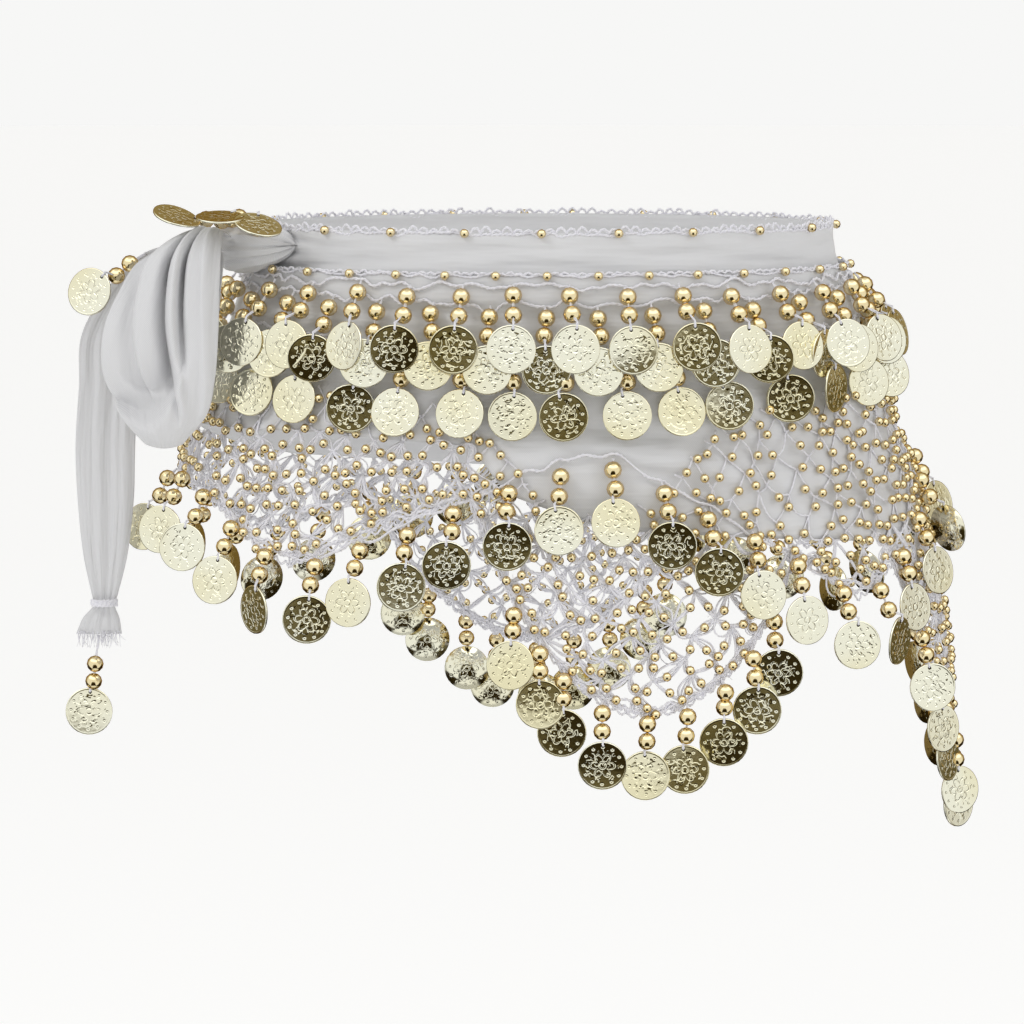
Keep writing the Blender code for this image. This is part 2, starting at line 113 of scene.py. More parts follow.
def make_room():
    """World shader: plain white to the camera, even white light to the cloth. The metal mirrors a bright
    front with a lamp above, a dim back, and dark openings low round the walls: where the cosine of the
    turn times their number, less a share of the height, is near one, so that they widen downwards.
    """
    world = bpy.data.worlds.new("white room")
    world.use_nodes = True
    tree = world.node_tree
    tree.nodes.clear()
    way = add_node(tree, "TexCoord")["Generated"]
    axes = add_node(tree, "SeparateXYZ", way)
    ahead = add_node(tree, "Math", axes[1], -1.0, operation="MULTIPLY")[0]
    turn = add_node(tree, "Math", axes[0], ahead, operation="ARCTAN2")[0]
    turns = add_node(tree, "Math", turn, float(OPENINGS), operation="MULTIPLY")[0]
    beat = add_node(tree, "Math", turns, operation="COSINE")[0]
    wedge = add_node(tree, "Math", axes[2], -2.2, beat, operation="MULTIPLY_ADD")[0]
    across = add_node(tree, "MapRange", wedge, 0.76, 0.92, **SMOOTH)[0]
    under = add_node(tree, "MapRange", axes[2], -0.02, -0.09, **SMOOTH)[0]
    above = add_node(tree, "MapRange", axes[2], -0.92, -0.84, **SMOOTH)[0]
    level = add_node(tree, "Math", under, above, operation="MULTIPLY")[0]
    opening = add_node(tree, "Math", across, level, operation="MULTIPLY")[0]
    front = add_node(tree, "MapRange", ahead, -0.7, 0.15, **SMOOTH)[0]
    plain = add_node(tree, "Mix", front, to={6: linear("#9c8c62"), 7: linear("#f2f1ea")}, **COLOUR)[2]
    depth = add_node(tree, "MapRange", axes[2], -0.24, -0.34, **SMOOTH)[0]
    shade = add_node(tree, "Mix", depth, to={6: linear("#665c3c"), 7: linear("#2c230d")}, **COLOUR)[2]
    mirrored = add_node(tree, "Mix", opening, to={6: plain, 7: shade}, **COLOUR)[2]
    path = add_node(tree, "LightPath")
    risen = add_node(tree, "MapRange", axes[2], 0.42, 0.7, **SMOOTH)[0]
    topped = add_node(tree, "MapRange", axes[2], 0.98, 0.86, **SMOOTH)[0]
    ring = add_node(tree, "Math", risen, topped, operation="MULTIPLY")[0]
    lamp = add_node(tree, "Math", front, ring, operation="MULTIPLY")[0]
    glossy, seen = path["Is Glossy Ray"], path["Is Camera Ray"]
    colour = add_node(tree, "Mix", glossy, to={6: linear(BACKDROP), 7: mirrored}, **COLOUR)[2]
    rest = 1.0 - ROOM_POWER
    power = add_node(tree, "Math", seen, rest, ROOM_POWER, operation="MULTIPLY_ADD")[0]
    gleam = add_node(tree, "Math", lamp, LAMP_POWER, rest, operation="MULTIPLY_ADD")[0]
    power = add_node(tree, "Math", glossy, gleam, power, operation="MULTIPLY_ADD")[0]
    glow = add_node(tree, "Background", to={"Color": colour, "Strength": power})
    add_node(tree, "OutputWorld", to={"Surface": glow[0]})
    bpy.context.scene.world = world


def add_floor():
    """A plain pale floor, which the metal doesn't mirror."""
    bpy.ops.mesh.primitive_circle_add(
        vertices=64, radius=FLOOR_RADIUS * MM, fill_type="NGON", location=(0.0, 0.0, FLOOR_HEIGHT * MM)
    )
    floor = bpy.context.object
    floor.name = "floor"
    paint = bpy.data.materials.new("pale floor")
    paint.use_nodes = True
    shader = paint.node_tree.nodes["Principled BSDF"]
    shader.inputs["Base Color"].default_value = linear("#fbfbfb")
    shader.inputs["Roughness"].default_value = 0.9
    shader.inputs["Emission Color"].default_value = linear("#ffffff")
    shader.inputs["Emission Strength"].default_value = 0.16
    floor.data.materials.append(paint)
    floor.visible_glossy = False


make_room()
add_floor()
add_area_light("key light", KEY_PLACE, KEY_SIZE, KEY_POWER)
add_area_light("fill light", FILL_PLACE, FILL_SIZE, FILL_POWER)

# Inner band: the upper layer of the scarf, silver grey chiffon wound once round under the panel and
# held by the knot. All the cloth keeps the form of the hips inside it: an ellipse at each height, which
# widens down from the rim.
RIM_HEIGHT, FULL_HEIGHT = 21.0, -190.0
RIM_HALF_WIDTH, FULL_HALF_WIDTH = 129.0, 178.0
RIM_HALF_DEPTH, FULL_HALF_DEPTH = 86.0, 108.0
HIP_CURVE = 1.4
CLOTH_WALL, WEAVE_PITCH = 0.7, 0.7
CREASE_GAIN = 1.9
SEAM_ANGLE, GIRTH_HEIGHT = -72.0, -60.0
BAND_INSET, BAND_FOOT = 2.9, -11.0
GATHERS_ANGLE = -70.0
BAND_COLUMNS, BAND_ROWS = 320, 18
BAND_CREASES = (
    # angle, height, half length, half width, depth, slope
    (-58.0, 16.0, 12.0, 1.5, -1.4, -0.16),
    (-57.0, 10.5, 16.0, 1.4, -1.5, -0.03),
    (-58.0, 5.0, 14.0, 1.5, -1.4, 0.14),
    (-50.0, 13.0, 12.0, 1.6, -0.9, 0.06),
    (-46.0, 6.0, 14.0, 1.5, -0.8, 0.10),
    (-38.0, 9.0, 14.0, 2.2, -0.7, -0.08),
    (-14.0, 13.0, 18.0, 2.0, -0.6, 0.05),
    (2.0, 7.0, 22.0, 2.6, -0.7, -0.05),
    (26.0, 12.0, 16.0, 2.2, -0.6, 0.06),
    (48.0, 8.0, 18.0, 2.5, -0.8, -0.07),
    (72.0, 13.0, 16.0, 2.4, -0.7, 0.08),
    (104.0, 9.0, 20.0, 2.4, -0.8, 0.04),
    (138.0, 12.0, 20.0, 2.2, -0.6, -0.06),
    (170.0, 8.0, 24.0, 2.6, -0.8, 0.03),
    (205.0, 12.0, 18.0, 2.2, -0.7, -0.05),
    (236.0, 7.0, 18.0, 2.6, -0.9, 0.08),
    (276.0, 12.0, 12.0, 3.0, -1.2, -0.25),
)


def half_axes(height):
    """Half width and half depth of the hips at a height, which widen by a power of a sine."""
    share = np.clip((RIM_HEIGHT - height) / (RIM_HEIGHT - FULL_HEIGHT), 0.0, 1.0)
    widened = np.sin(0.5 * np.pi * share) ** HIP_CURVE
    wide = RIM_HALF_WIDTH + (FULL_HALF_WIDTH - RIM_HALF_WIDTH) * widened
    deep = RIM_HALF_DEPTH + (FULL_HALF_DEPTH - RIM_HALF_DEPTH) * widened
    return wide, deep


def outward(angle, height):
    """Level unit vector out of the ellipse: its sine and cosine over the half axes, at length one."""
    wide, deep = half_axes(height)
    turn = np.radians(angle)
    out = np.stack([np.sin(turn) / wide, -np.cos(turn) / deep, np.zeros_like(turn * wide)], axis=-1)
    return out / np.linalg.norm(out, axis=-1, keepdims=True)


def on_hips(angle, height, out):
    """Point on the hips, the ellipse's half axes times the angle's sine and cosine, moved out from it."""
    angle, height, out = np.broadcast_arrays(*np.atleast_1d(angle, height, out))
    wide, deep = half_axes(height)
    turn = np.radians(angle)
    point = np.stack([wide * np.sin(turn), -deep * np.cos(turn), height], axis=-1)
    return point + outward(angle, height) * out[..., None]


def joined(shapes):
    """One shape from several. A shape is its points, its quads, its triangles and a UV for each point."""
    shifts = np.cumsum([0] + [len(shape[0]) for shape in shapes[:-1]])
    points = np.concatenate([shape[0] for shape in shapes])
    quads = np.concatenate([shape[1] + shift for shape, shift in zip(shapes, shifts)])
    triangles = np.concatenate([shape[2] + shift for shape, shift in zip(shapes, shifts)])
    return points, quads, triangles, np.concatenate([shape[3] for shape in shapes])


def new_piece(name, parts, replaced=()):
    """A smooth object from shapes with their materials. It rides on the body and may stand for nodes."""
    points, quads, triangles, uv = joined([shape for shape, _ in parts])
    corners = np.concatenate([quads.ravel(), triangles.ravel()]).astype(np.int32)
    sizes = np.concatenate([np.full(len(quads), 4), np.full(len(triangles), 3)])
    starts = np.concatenate([[0], np.cumsum(sizes)[:-1]]).astype(np.int32)
    finishes = np.concatenate(
        [np.full(len(shape[1]), k) for k, (shape, _) in enumerate(parts)]
        + [np.full(len(shape[2]), k) for k, (shape, _) in enumerate(parts)]
    )
    mesh = bpy.data.meshes.new(name)
    mesh.vertices.add(len(points))
    mesh.vertices.foreach_set("co", (points * MM).astype(np.float32).ravel())
    mesh.loops.add(len(corners))
    mesh.loops.foreach_set("vertex_index", corners)
    mesh.polygons.add(len(sizes))
    mesh.polygons.foreach_set("loop_start", starts)
    mesh.polygons.foreach_set("material_index", finishes.astype(np.int32))
    mesh.update(calc_edges=True)
    layer = mesh.uv_layers.new(name="lay")
    layer.data.foreach_set("uv", uv[corners].astype(np.float32).ravel())
    for _, finish in parts:
        mesh.materials.append(finish)
    mesh.shade_smooth()
    piece = bpy.data.objects.new(name, mesh)
    bpy.context.scene.collection.objects.link(piece)
    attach(piece, "root")
    if replaced:
        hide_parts(*replaced)
    return piece


def grid(points, uv, closed=False):
    """A sheet from rows of points. A closed one joins the last column to the first."""
    rows, columns = points.shape[:2]
    last = columns if closed else columns - 1
    row, column = np.meshgrid(np.arange(rows - 1), np.arange(last), indexing="ij")
    after = (column + 1) % columns
    low = row * columns
    quads = np.stack([low + column, low + columns + column, low + columns + after, low + after], axis=-1)
    return points.reshape(-1, 3), quads.reshape(-1, 4), np.zeros((0, 3), int), uv.reshape(-1, 2)


def new_material(name, roughness, metallic=0.0):
    """A material with its node tree, its shader, the place in the object and the place on the surface."""
    made = bpy.data.materials.new(name)
    made.use_nodes = True
    tree = made.node_tree
    shader = tree.nodes["Principled BSDF"]
    shader.inputs["Roughness"].default_value = roughness
    shader.inputs["Metallic"].default_value = metallic
    lay = add_node(tree, "TexCoord")
    return made, tree, shader, lay["Object"], add_node(tree, "SeparateXYZ", lay["UV"])


def make_chiffon():
    """Silver grey chiffon, thin and dull. Its weave is a sine along the cloth times a sine across it,
    coarser than real threads, and its long soft wrinkles are noise that is drawn out lengthways.
    """
    made, tree, shader, place, flat = new_material("silver grey chiffon", 0.72)
    waves = []
    for axis in (flat[0], flat[1]):
        phase = add_node(tree, "Math", axis, 2.0 * np.pi / WEAVE_PITCH, operation="MULTIPLY")[0]
        waves.append(add_node(tree, "Math", phase, operation="SINE")[0])
    weave = add_node(tree, "Math", *waves, operation="MULTIPLY")[0]
    cloud = add_node(tree, "TexNoise", to={"Vector": place, "Scale": 38.0, "Detail": 3.0})[0]
    plain = add_node(tree, "Mix", cloud, to={6: linear("#c4c4c7"), 7: linear("#d0d0d2")}, **COLOUR)[2]
    thread = add_node(tree, "MapRange", weave, -1.0, 1.0, **SMOOTH)[0]
    colour = add_node(tree, "Mix", thread, to={6: plain, 7: linear("#dadadb")}, **COLOUR)[2]
    tree.links.new(colour, shader.inputs["Base Color"])
    along = add_node(tree, "Math", flat[0], 0.02, operation="MULTIPLY")[0]
    across = add_node(tree, "Math", flat[1], 0.15, operation="MULTIPLY")[0]
    laid = add_node(tree, "CombineXYZ", along, across)[0]
    wrinkles = add_node(tree, "TexNoise", to={"Vector": laid, "Scale": 1.0, "Detail": 2.0})[0]
    bent = add_node(tree, "Bump", to={"Height": wrinkles, "Strength": 0.6, "Distance": 0.0028})[0]
    fine = {"Height": weave, "Strength": 0.25, "Distance": 0.0001, "Normal": bent}
    tree.links.new(add_node(tree, "Bump", to=fine)[0], shader.inputs["Normal"])
    shader.inputs["Sheen Weight"].default_value = 0.25
    shader.inputs["Sheen Roughness"].default_value = 0.4
    return made


def creased(angle, height, table):
    """Depth of the listed creases: each is a Gaussian along its length and across its width."""
    depth = np.zeros_like(angle)
    for centre, level, half_length, half_width, deep, slope in table:
        along = (angle - centre + 180.0) % 360.0 - 180.0
        across = height - level - slope * along
        fade = np.exp(-((along / half_length) ** 2) * 1.6 - (across / half_width) ** 2)
        depth += CREASE_GAIN * deep * fade
    return depth


def thicken(piece, thickness, offset):
    """Gives a cloth its wall. The offset puts the wall inside its surface or half on each side."""
    wall = piece.modifiers.new("wall", "SOLIDIFY")
    wall.thickness = thickness * MM
    wall.offset = offset


def cloth_tube(name, columns, rows, heights, outs, slot_node):
    """A closed chiffon tube. Heights and outs are functions of the angle and of the share down it.

    Its seam is under the knot, and the weave's coordinates run on over it.
    """
    angle = np.linspace(SEAM_ANGLE, SEAM_ANGLE + 360.0, columns, endpoint=False)
    angle, share = np.meshgrid(angle, np.linspace(0.0, 1.0, rows + 1))
    height = heights(angle, share)
    points = on_hips(angle, height, outs(angle, height, share))
    size = 0.5 * sum(half_axes(GIRTH_HEIGHT))
    arc = np.radians(angle) * size
    shape = grid(points, np.stack([arc, height], axis=-1), closed=True)
    piece = new_piece(name, [(shape, chiffon)], slot_node)
    layer = piece.data.uv_layers[0].data
    corners = np.empty(2 * len(layer), np.float32)
    layer.foreach_get("uv", corners)
    corners = corners.reshape(-1, 4, 2)
    over_seam = np.ptp(corners[..., 0], axis=1) > size
    corners[..., 0] += 2.0 * np.pi * size * (over_seam[:, None] & (corners[..., 0] < arc.mean()))
    layer.foreach_set("uv", corners.ravel())
    thicken(piece, CLOTH_WALL, -1.0)
    return piece


def band_out(angle, height, share):
    """The band lies inside the panel. Sines make its ripple, and fine upright gathers that fade with the
    distance from the knot.
    """
    away = (angle - GATHERS_ANGLE + 180.0) % 360.0 - 180.0
    gathers = 0.35 * np.sin(np.radians(angle) * 66.0) * np.exp(-((away / 26.0) ** 2))
    ripple = 0.18 * np.sin(np.radians(angle) * 23.0 + 2.0 * share)
    return -BAND_INSET + gathers + ripple + creased(angle, height, BAND_CREASES)


chiffon = make_chiffon()
band = cloth_tube(
    "upper_band_cloth",
    BAND_COLUMNS,
    BAND_ROWS,
    lambda angle, share: RIM_HEIGHT + (BAND_FOOT - RIM_HEIGHT) * share,
    band_out,
    ("inner_band",),
)

# Crocheted frill on the band's rim: small loops of white yarn on a base thread, worked along the cloth's
# edge, with a small round gold bead sewn on every few centimetres.
MEASURE_STEPS = 1500


def run_of(points):
    """Length along each line of points: the sum of its steps so far."""
    steps = np.diff(points, axis=-2, prepend=points[..., :1, :])
    return np.cumsum(np.linalg.norm(steps, axis=-1), axis=-1)


def spaced_angles(height_of, start, end, shift, pitch):
    """Angles that are one pitch apart along a line round the hips, read off its measured length."""
    fine = np.linspace(start, end, MEASURE_STEPS)
    run = run_of(on_hips(fine, height_of(fine), 0.0))
    return np.interp(np.arange(shift, run[-1], pitch), run, fine)


def unit(vectors):
    """The vectors at length one."""
    return vectors / np.maximum(np.linalg.norm(vectors, axis=-1, keepdims=True), 1e-9)


def wander(count, size, rng):
    """Smooth random offsets along a line: normal draws under a moving bell-shaped window."""
    window = np.hanning(9)
    smooth = np.convolve(rng.normal(0.0, 1.0, count + 8), window, "valid")
    return size * smooth / np.sqrt((window**2).sum())


def tubes(paths, outs, radius, sides):
    """Capped tubes round many paths with as many points each: at each point a ring of cosine and sine
    times the radius, square to the path.
    """
    count, steps = paths.shape[:2]
    radius = np.broadcast_to(radius, (count, steps))
    along = unit(np.gradient(paths, axis=1))
    side = unit(np.cross(along, outs))
    out = np.cross(side, along)
    turn = np.linspace(0.0, 2.0 * np.pi, sides, endpoint=False)
    ring = np.cos(turn)[:, None] * side[:, :, None] + np.sin(turn)[:, None] * out[:, :, None]
    points = paths[:, :, None] + radius[..., None, None] * ring
    uv = np.stack(np.broadcast_arrays(run_of(paths)[..., None], turn / (2.0 * np.pi)), axis=-1)
    ranges = np.arange(count), np.arange(steps - 1), np.arange(sides)
    tube, step, corner = np.meshgrid(*ranges, indexing="ij")
    after = (corner + 1) % sides
    low = (tube * steps + step) * sides
    quads = np.stack([low + corner, low + after, low + sides + after, low + sides + corner], axis=-1)
    tube, corner = np.meshgrid(np.arange(count), np.arange(1, sides - 1), indexing="ij")
    first, last = tube * steps * sides, (tube * steps + steps - 1) * sides
    caps = np.concatenate(
        [
            np.stack([first, first + corner + 1, first + corner], axis=-1).reshape(-1, 3),
            np.stack([last, last + corner, last + corner + 1], axis=-1).reshape(-1, 3),
        ]
    )
    return points.reshape(-1, 3), quads.reshape(-1, 4), caps, uv.reshape(-1, 2)


def crocheted(paths, outs, radius, stitch, seed):
    """Two thin threads a path, which swing round it by a cosine and a sine of the length run, half a turn
    apart. Their radius swells with each stitch.
    """
    rng = np.random.default_rng(seed)
    along = unit(np.gradient(paths, axis=1))
    side = unit(np.cross(along, outs))
    start = rng.uniform(0.0, 2.0 * np.pi, (len(paths), 1))
    phase = np.pi * run_of(paths) / stitch + start
    strands = []
    for way in (0.0, np.pi):
        swing = np.cos(phase + way)[..., None] * side + np.sin(phase + way)[..., None] * outs
        lump = radius * (0.72 + 0.34 * np.abs(np.sin(phase + 0.5 * way)))
        strands.append(tubes(paths + 0.75 * radius * swing, outs, lump, 4))
    return joined(strands)


def make_yarn():
    """White crochet yarn with a cool tint. Its twisted plies are a sine of the places along and round it,
    and its fuzz is fine noise.
    """
    made, tree, shader, place, flat = new_material("white crochet yarn", 0.85)
    leaned = add_node(tree, "Math", flat[0], 1.4, flat[1], operation="MULTIPLY_ADD")[0]
    twist = add_node(tree, "Math", leaned, 2.0 * np.pi, operation="MULTIPLY")[0]
    ply = add_node(tree, "Math", twist, operation="SINE")[0]
    fuzz = add_node(tree, "TexNoise", to={"Vector": place, "Scale": 900.0, "Detail": 2.0})[0]
    colour = add_node(tree, "Mix", fuzz, to={6: linear("#dcdbe6"), 7: linear("#fbfafc")}, **COLOUR)[2]
    tree.links.new(colour, shader.inputs["Base Color"])
    height = add_node(tree, "Math", ply, 0.4, fuzz, operation="MULTIPLY_ADD")[0]
    raised = add_node(tree, "Bump", to={"Height": height, "Strength": 0.6, "Distance": 0.0003})[0]
    tree.links.new(raised, shader.inputs["Normal"])
    shader.inputs["Sheen Weight"].default_value = 0.5
    return made


def turned(profile, segments):
    """A shape turned about its second axis: the profile's radius times cosine and sine, between two poles.
    The profile's rows are radius and place along the axis.
    """
    rows = np.array(profile)
    turn = np.linspace(0.0, 2.0 * np.pi, segments, endpoint=False)
    rings = rows[1:-1]
    along = np.repeat(rings[:, 1:], segments, axis=1)
    ring_points = np.stack([rings[:, :1] * np.cos(turn), along, rings[:, :1] * np.sin(turn)], axis=-1)
    poles = [[0.0, rows[0, 1], 0.0]], [[0.0, rows[-1, 1], 0.0]]
    points = np.concatenate([poles[0], ring_points.reshape(-1, 3), poles[1]])
    ring, step = np.meshgrid(np.arange(len(rings) - 1), np.arange(segments), indexing="ij")
    after = (step + 1) % segments
    low = 1 + ring * segments
    quads = np.stack([low + step, low + after, low + segments + after, low + segments + step], axis=-1)
    step = np.arange(segments)
    after = (step + 1) % segments
    last = 1 + (len(rings) - 1) * segments
    first_fan = np.stack([np.zeros_like(step), 1 + after, 1 + step], axis=-1)
    last_fan = np.stack([np.full_like(step, len(points) - 1), last + step, last + after], axis=-1)
    uv = points[:, [0, 2]] / (2.0 * rows[:, 0].max()) + 0.5
    return points, quads.reshape(-1, 4), np.concatenate([first_fan, last_fan]), uv


def ball(radius, segments, rings):
    """A round bead: its profile is the radius times the sine and cosine of half a turn."""
    turn = np.linspace(0.0, np.pi, rings + 1)
    return turned(np.stack([radius * np.sin(turn), -radius * np.cos(turn)], axis=-1), segments)


def scattered(shape, centres, axes):
    """Copies of a shape, one at each centre. The axes' rows are the copy's side, outward and upward axis."""
    points, quads, triangles, uv = shape
    placed = centres[:, None] + np.einsum("pk,nkj->npj", points, axes)
    shift = (np.arange(len(centres)) * len(points))[:, None, None]
    return (
        placed.reshape(-1, 3),
        (quads[None] + shift).reshape(-1, 4),
        (triangles[None] + shift).reshape(-1, 3),
        np.tile(uv, (len(centres), 1)),
    )


def make_bead_metal():
    """Polished warm gold, with a faint unevenness of the plating from noise."""
    made, tree, shader, place, _ = new_material("gold bead", 0.12, 1.0)
    cloud = add_node(tree, "TexNoise", to={"Vector": place, "Scale": 90.0, "Detail": 2.0})[0]
    colour = add_node(tree, "Mix", cloud, to={6: linear("#f5e3b6"), 7: linear("#f7eac6")}, **COLOUR)[2]
    tree.links.new(colour, shader.inputs["Base Color"])
    uneven = add_node(tree, "Bump", to={"Height": cloud, "Strength": 0.15, "Distance": 0.0003})[0]
    tree.links.new(uneven, shader.inputs["Normal"])
    shader.inputs["Specular Tint"].default_value = linear("#cfa252")
    return made


def beads_at(bead, centres):
    """Upright beads at their places."""
    axes = np.broadcast_to(np.eye(3), (len(centres), 3, 3))
    return scattered(bead, centres, axes)


def level_edge(height):
    """An edge with the same height at every angle."""
    return lambda angle: height + 0.0 * angle


def edge_line(height_of, ends, count, rise, unevenness, out, rng):
    """A line along an edge with its outward directions: the edge's height with smooth random offsets."""
    fine = np.linspace(*ends, count)
    height = height_of(fine)
    line = on_hips(fine, height + rise + wander(count, unevenness, rng), out)
    return line[None], outward(fine, height)[None]


def loop_angles(height_of, ends, pitch, steps):
    """Angles along small loops whose feet are one pitch apart, and the loops' share of their reach, a
    half sine.
    """
    feet = spaced_angles(height_of, *ends, 0.0, pitch)
    share = np.linspace(0.0, 1.0, steps)
    return feet[:-1, None] + (feet[1:, None] - feet[:-1, None]) * share, np.sin(np.pi * share)


def edging(name, height_of, seed, out, pitch, rise, thread, bead_pitch, bead_rise, bead_shift):
    """A crocheted frill of small loops along a level edge, on a base thread, with beads on some loops."""
    rng = np.random.default_rng(seed)
    ends = (-180.0, 180.0)
    angle, reach = loop_angles(height_of, ends, pitch, 9)
    lift = rise * rng.uniform(0.6, 1.25, (len(angle), 1)) * reach**0.7
    lean = rng.uniform(-0.9, 0.9, (len(angle), 1)) * reach
    loops = on_hips(angle, height_of(angle) + lift, out + lean)
    outs = outward(angle, height_of(angle))
    base, base_outs = edge_line(height_of, ends, 721, 0.0, 0.5, out, rng)
    frill = joined(
        [crocheted(loops, outs, thread, 1.6, seed), crocheted(base, base_outs, thread * 1.1, 2.2, seed + 1)]
    )
    new_piece(name + "_frill", [(frill, yarn)])
    places = spaced_angles(height_of, *ends, bead_shift, bead_pitch)
    centres = on_hips(places, height_of(places) + bead_rise, out + 1.6)
    new_piece(name + "_beads", [(beads_at(SMALL_BEAD, centres), bead_metal)])


yarn = make_yarn()
bead_metal = make_bead_metal()
SMALL_BEAD = ball(radius=2.05, segments=9, rings=5)
edging(
    "rim",
    level_edge(RIM_HEIGHT - 0.6),
    seed=11,
    out=-BAND_INSET,
    pitch=4.6,
    rise=2.6,
    thread=0.42,
    bead_pitch=33.0,
    bead_rise=0.4,
    bead_shift=9.0,
)

# Hip panel: the main layer of the same chiffon, laid over the band's foot. The chains of coins are sewn
# on it and pull it into soft level creases, and its top edge has a finer frill.
PANEL_TOP = 4.0
PANEL_EDGE = (
    # angle, height of the lower edge
    (-90.0, -66.0),
    (-40.0, -64.0),
    (-12.0, -68.0),
    (-6.0, -88.0),
    (9.0, -103.0),
    (52.0, -112.0),
    (90.0, -110.0),
    (135.0, -98.0),
    (180.0, -98.0),
    (225.0, -88.0),
    (270.0, -66.0),
)
PANEL_COLUMNS, PANEL_ROWS = 400, 48
PANEL_CREASES = (
    # angle, height, half length, half width, depth, slope
    (-58.0, -9.0, 16.0, 3.2, -1.5, 0.16),
    (-50.0, -24.0, 20.0, 3.6, -1.7, 0.10),
    (-44.0, -42.0, 16.0, 3.4, -1.3, -0.08),
    (-26.0, -12.0, 18.0, 2.6, -1.3, 0.06),
    (-22.0, -30.0, 22.0, 3.8, -1.6, -0.08),
    (-14.0, -52.0, 18.0, 4.0, -1.3, 0.20),
    (-2.0, -14.0, 16.0, 2.8, -1.2, -0.05),
    (4.0, -34.0, 20.0, 3.2, -1.5, 0.07),
    (10.0, -62.0, 16.0, 4.4, -1.8, -0.35),
    (20.0, -82.0, 16.0, 3.6, -1.5, -0.55),
    (22.0, -12.0, 18.0, 2.6, -1.3, 0.04),
    (30.0, -32.0, 20.0, 3.4, -1.6, -0.06),
    (34.0, -70.0, 18.0, 4.6, -1.4, -0.30),
    (48.0, -15.0, 18.0, 3.0, -1.4, 0.05),
    (52.0, -44.0, 20.0, 3.8, -1.5, 0.10),
    (58.0, -92.0, 18.0, 4.4, -1.6, 0.12),
    (74.0, -24.0, 18.0, 3.2, -1.5, -0.10),
    (80.0, -66.0, 16.0, 4.0, -1.5, 0.16),
    (104.0, -14.0, 18.0, 3.0, -1.3, 0.08),
    (112.0, -44.0, 22.0, 3.8, -1.6, -0.12),
    (124.0, -78.0, 18.0, 4.2, -1.5, 0.22),
    (140.0, -18.0, 20.0, 3.0, -1.4, -0.05),
    (152.0, -50.0, 22.0, 3.8, -1.6, 0.10),
    (166.0, -84.0, 18.0, 4.0, -1.4, -0.14),
    (178.0, -14.0, 20.0, 2.8, -1.3, 0.04),
    (190.0, -38.0, 22.0, 3.6, -1.6, -0.08),
    (204.0, -66.0, 18.0, 4.0, -1.4, 0.18),
    (216.0, -16.0, 18.0, 3.0, -1.4, 0.07),
    (230.0, -42.0, 20.0, 3.6, -1.5, -0.12),
    (254.0, -14.0, 16.0, 3.2, -1.5, 0.14),
    (262.0, -36.0, 18.0, 3.4, -1.5, -0.10),
)


def panel_edge(angle):
    """Height of the chiffon's lower edge, straight between its table's places."""
    rows = np.array(PANEL_EDGE)
    return np.interp((angle + 90.0) % 360.0 - 90.0, rows[:, 0], rows[:, 1])


def panel_out(angle, height, share):
    """Creases over a faint ripple, a product of sines, both faded out at the top edge."""
    hold = np.clip(share * 12.0, 0.0, 1.0)
    ripple = 0.3 * np.sin(np.radians(angle) * 17.0 + height * 0.08) * np.sin(height * 0.21)
    return hold * (ripple + creased(angle, height, PANEL_CREASES))


panel = cloth_tube(
    "hip_panel_cloth",
    PANEL_COLUMNS,
    PANEL_ROWS,
    lambda angle, share: PANEL_TOP + (panel_edge(angle) - PANEL_TOP) * share,
    panel_out,
    ("hip_panel",),
)
edging(
    "panel_top",
    level_edge(PANEL_TOP - 0.8),
    seed=23,
    out=0.5,
    pitch=3.8,
    rise=1.2,
    thread=0.36,
    bead_pitch=21.5,
    bead_rise=0.0,
    bead_shift=4.0,
)

# Crocheted net: a trellis of loose doubled yarn with small gold beads threaded on its strands, worked on
# to the panel. It climbs over the chiffon at the hips, hangs below it, and ends in a thick cord along a
# scalloped hem with three deep points.
HEM = (
    # angle, height, fullness of the edge from a peak to a point
    (-97.0, -90.0, 1.0),
    (-67.0, -84.0, 1.2),
    (-40.0, -119.0, 1.0),
    (-11.8, -88.0, 1.9),
    (13.4, -180.0, 1.9),
    (38.5, -116.0, 1.0),
    (50.5, -135.0, 1.0),
    (61.0, -122.0, 1.9),
    (90.0, -210.0, 1.9),
    (118.0, -114.0, 1.0),
    (136.0, -130.0, 1.0),
    (153.0, -106.0, 1.9),
    (181.0, -178.0, 1.9),
    (209.0, -106.0, 1.0),
    (226.0, -124.0, 1.0),
    (262.7, -88.0, 1.0),
)
NET_TOP = (
    # angle, height
    (-97.0, -46.0),
    (-40.0, -44.0),
    (-14.0, -50.0),
    (0.0, -88.0),
    (9.0, -99.0),
    (17.0, -86.0),
    (27.0, -62.0),
    (40.0, -50.0),
    (60.0, -46.0),
    (118.0, -54.0),
    (148.0, -92.0),
    (165.0, -94.0),
    (186.0, -68.0),
    (225.0, -60.0),
    (262.7, -62.0),
)
NET_START, NET_SEAM, NET_END = -97.0, 90.0, 262.7
NET_OUT = 0.9
CELL_WIDTH, CELL_FALL = 14.0, 8.2
FIRST_LEVEL, NET_LEVELS = -42.0, 22
NET_GIRTH_HEIGHT = -110.0
SIDE_SCATTER, FALL_SCATTER = 2.1, 1.9
STRAND_STEPS = 9
THREAD, LYING_SHARE = 0.52, 0.6
LOOSE_THREADS, LOOSE_SPREAD = (0.6, 0.48, 0.34), 1.7
HAIR_COUNT, HAIR_RADIUS = 1400, 0.1
ONE_BEAD_SHARE, TWO_BEADS_SHARE = 0.94, 0.5
SHORTEST_BEADED = 5.0
BEAD_OUT, BEAD_SCATTER, BEAD_GAP = 1.5, 0.6, 4.4
HEM_LOOP_PITCH, HEM_LOOP_FALL = 5.2, 2.4


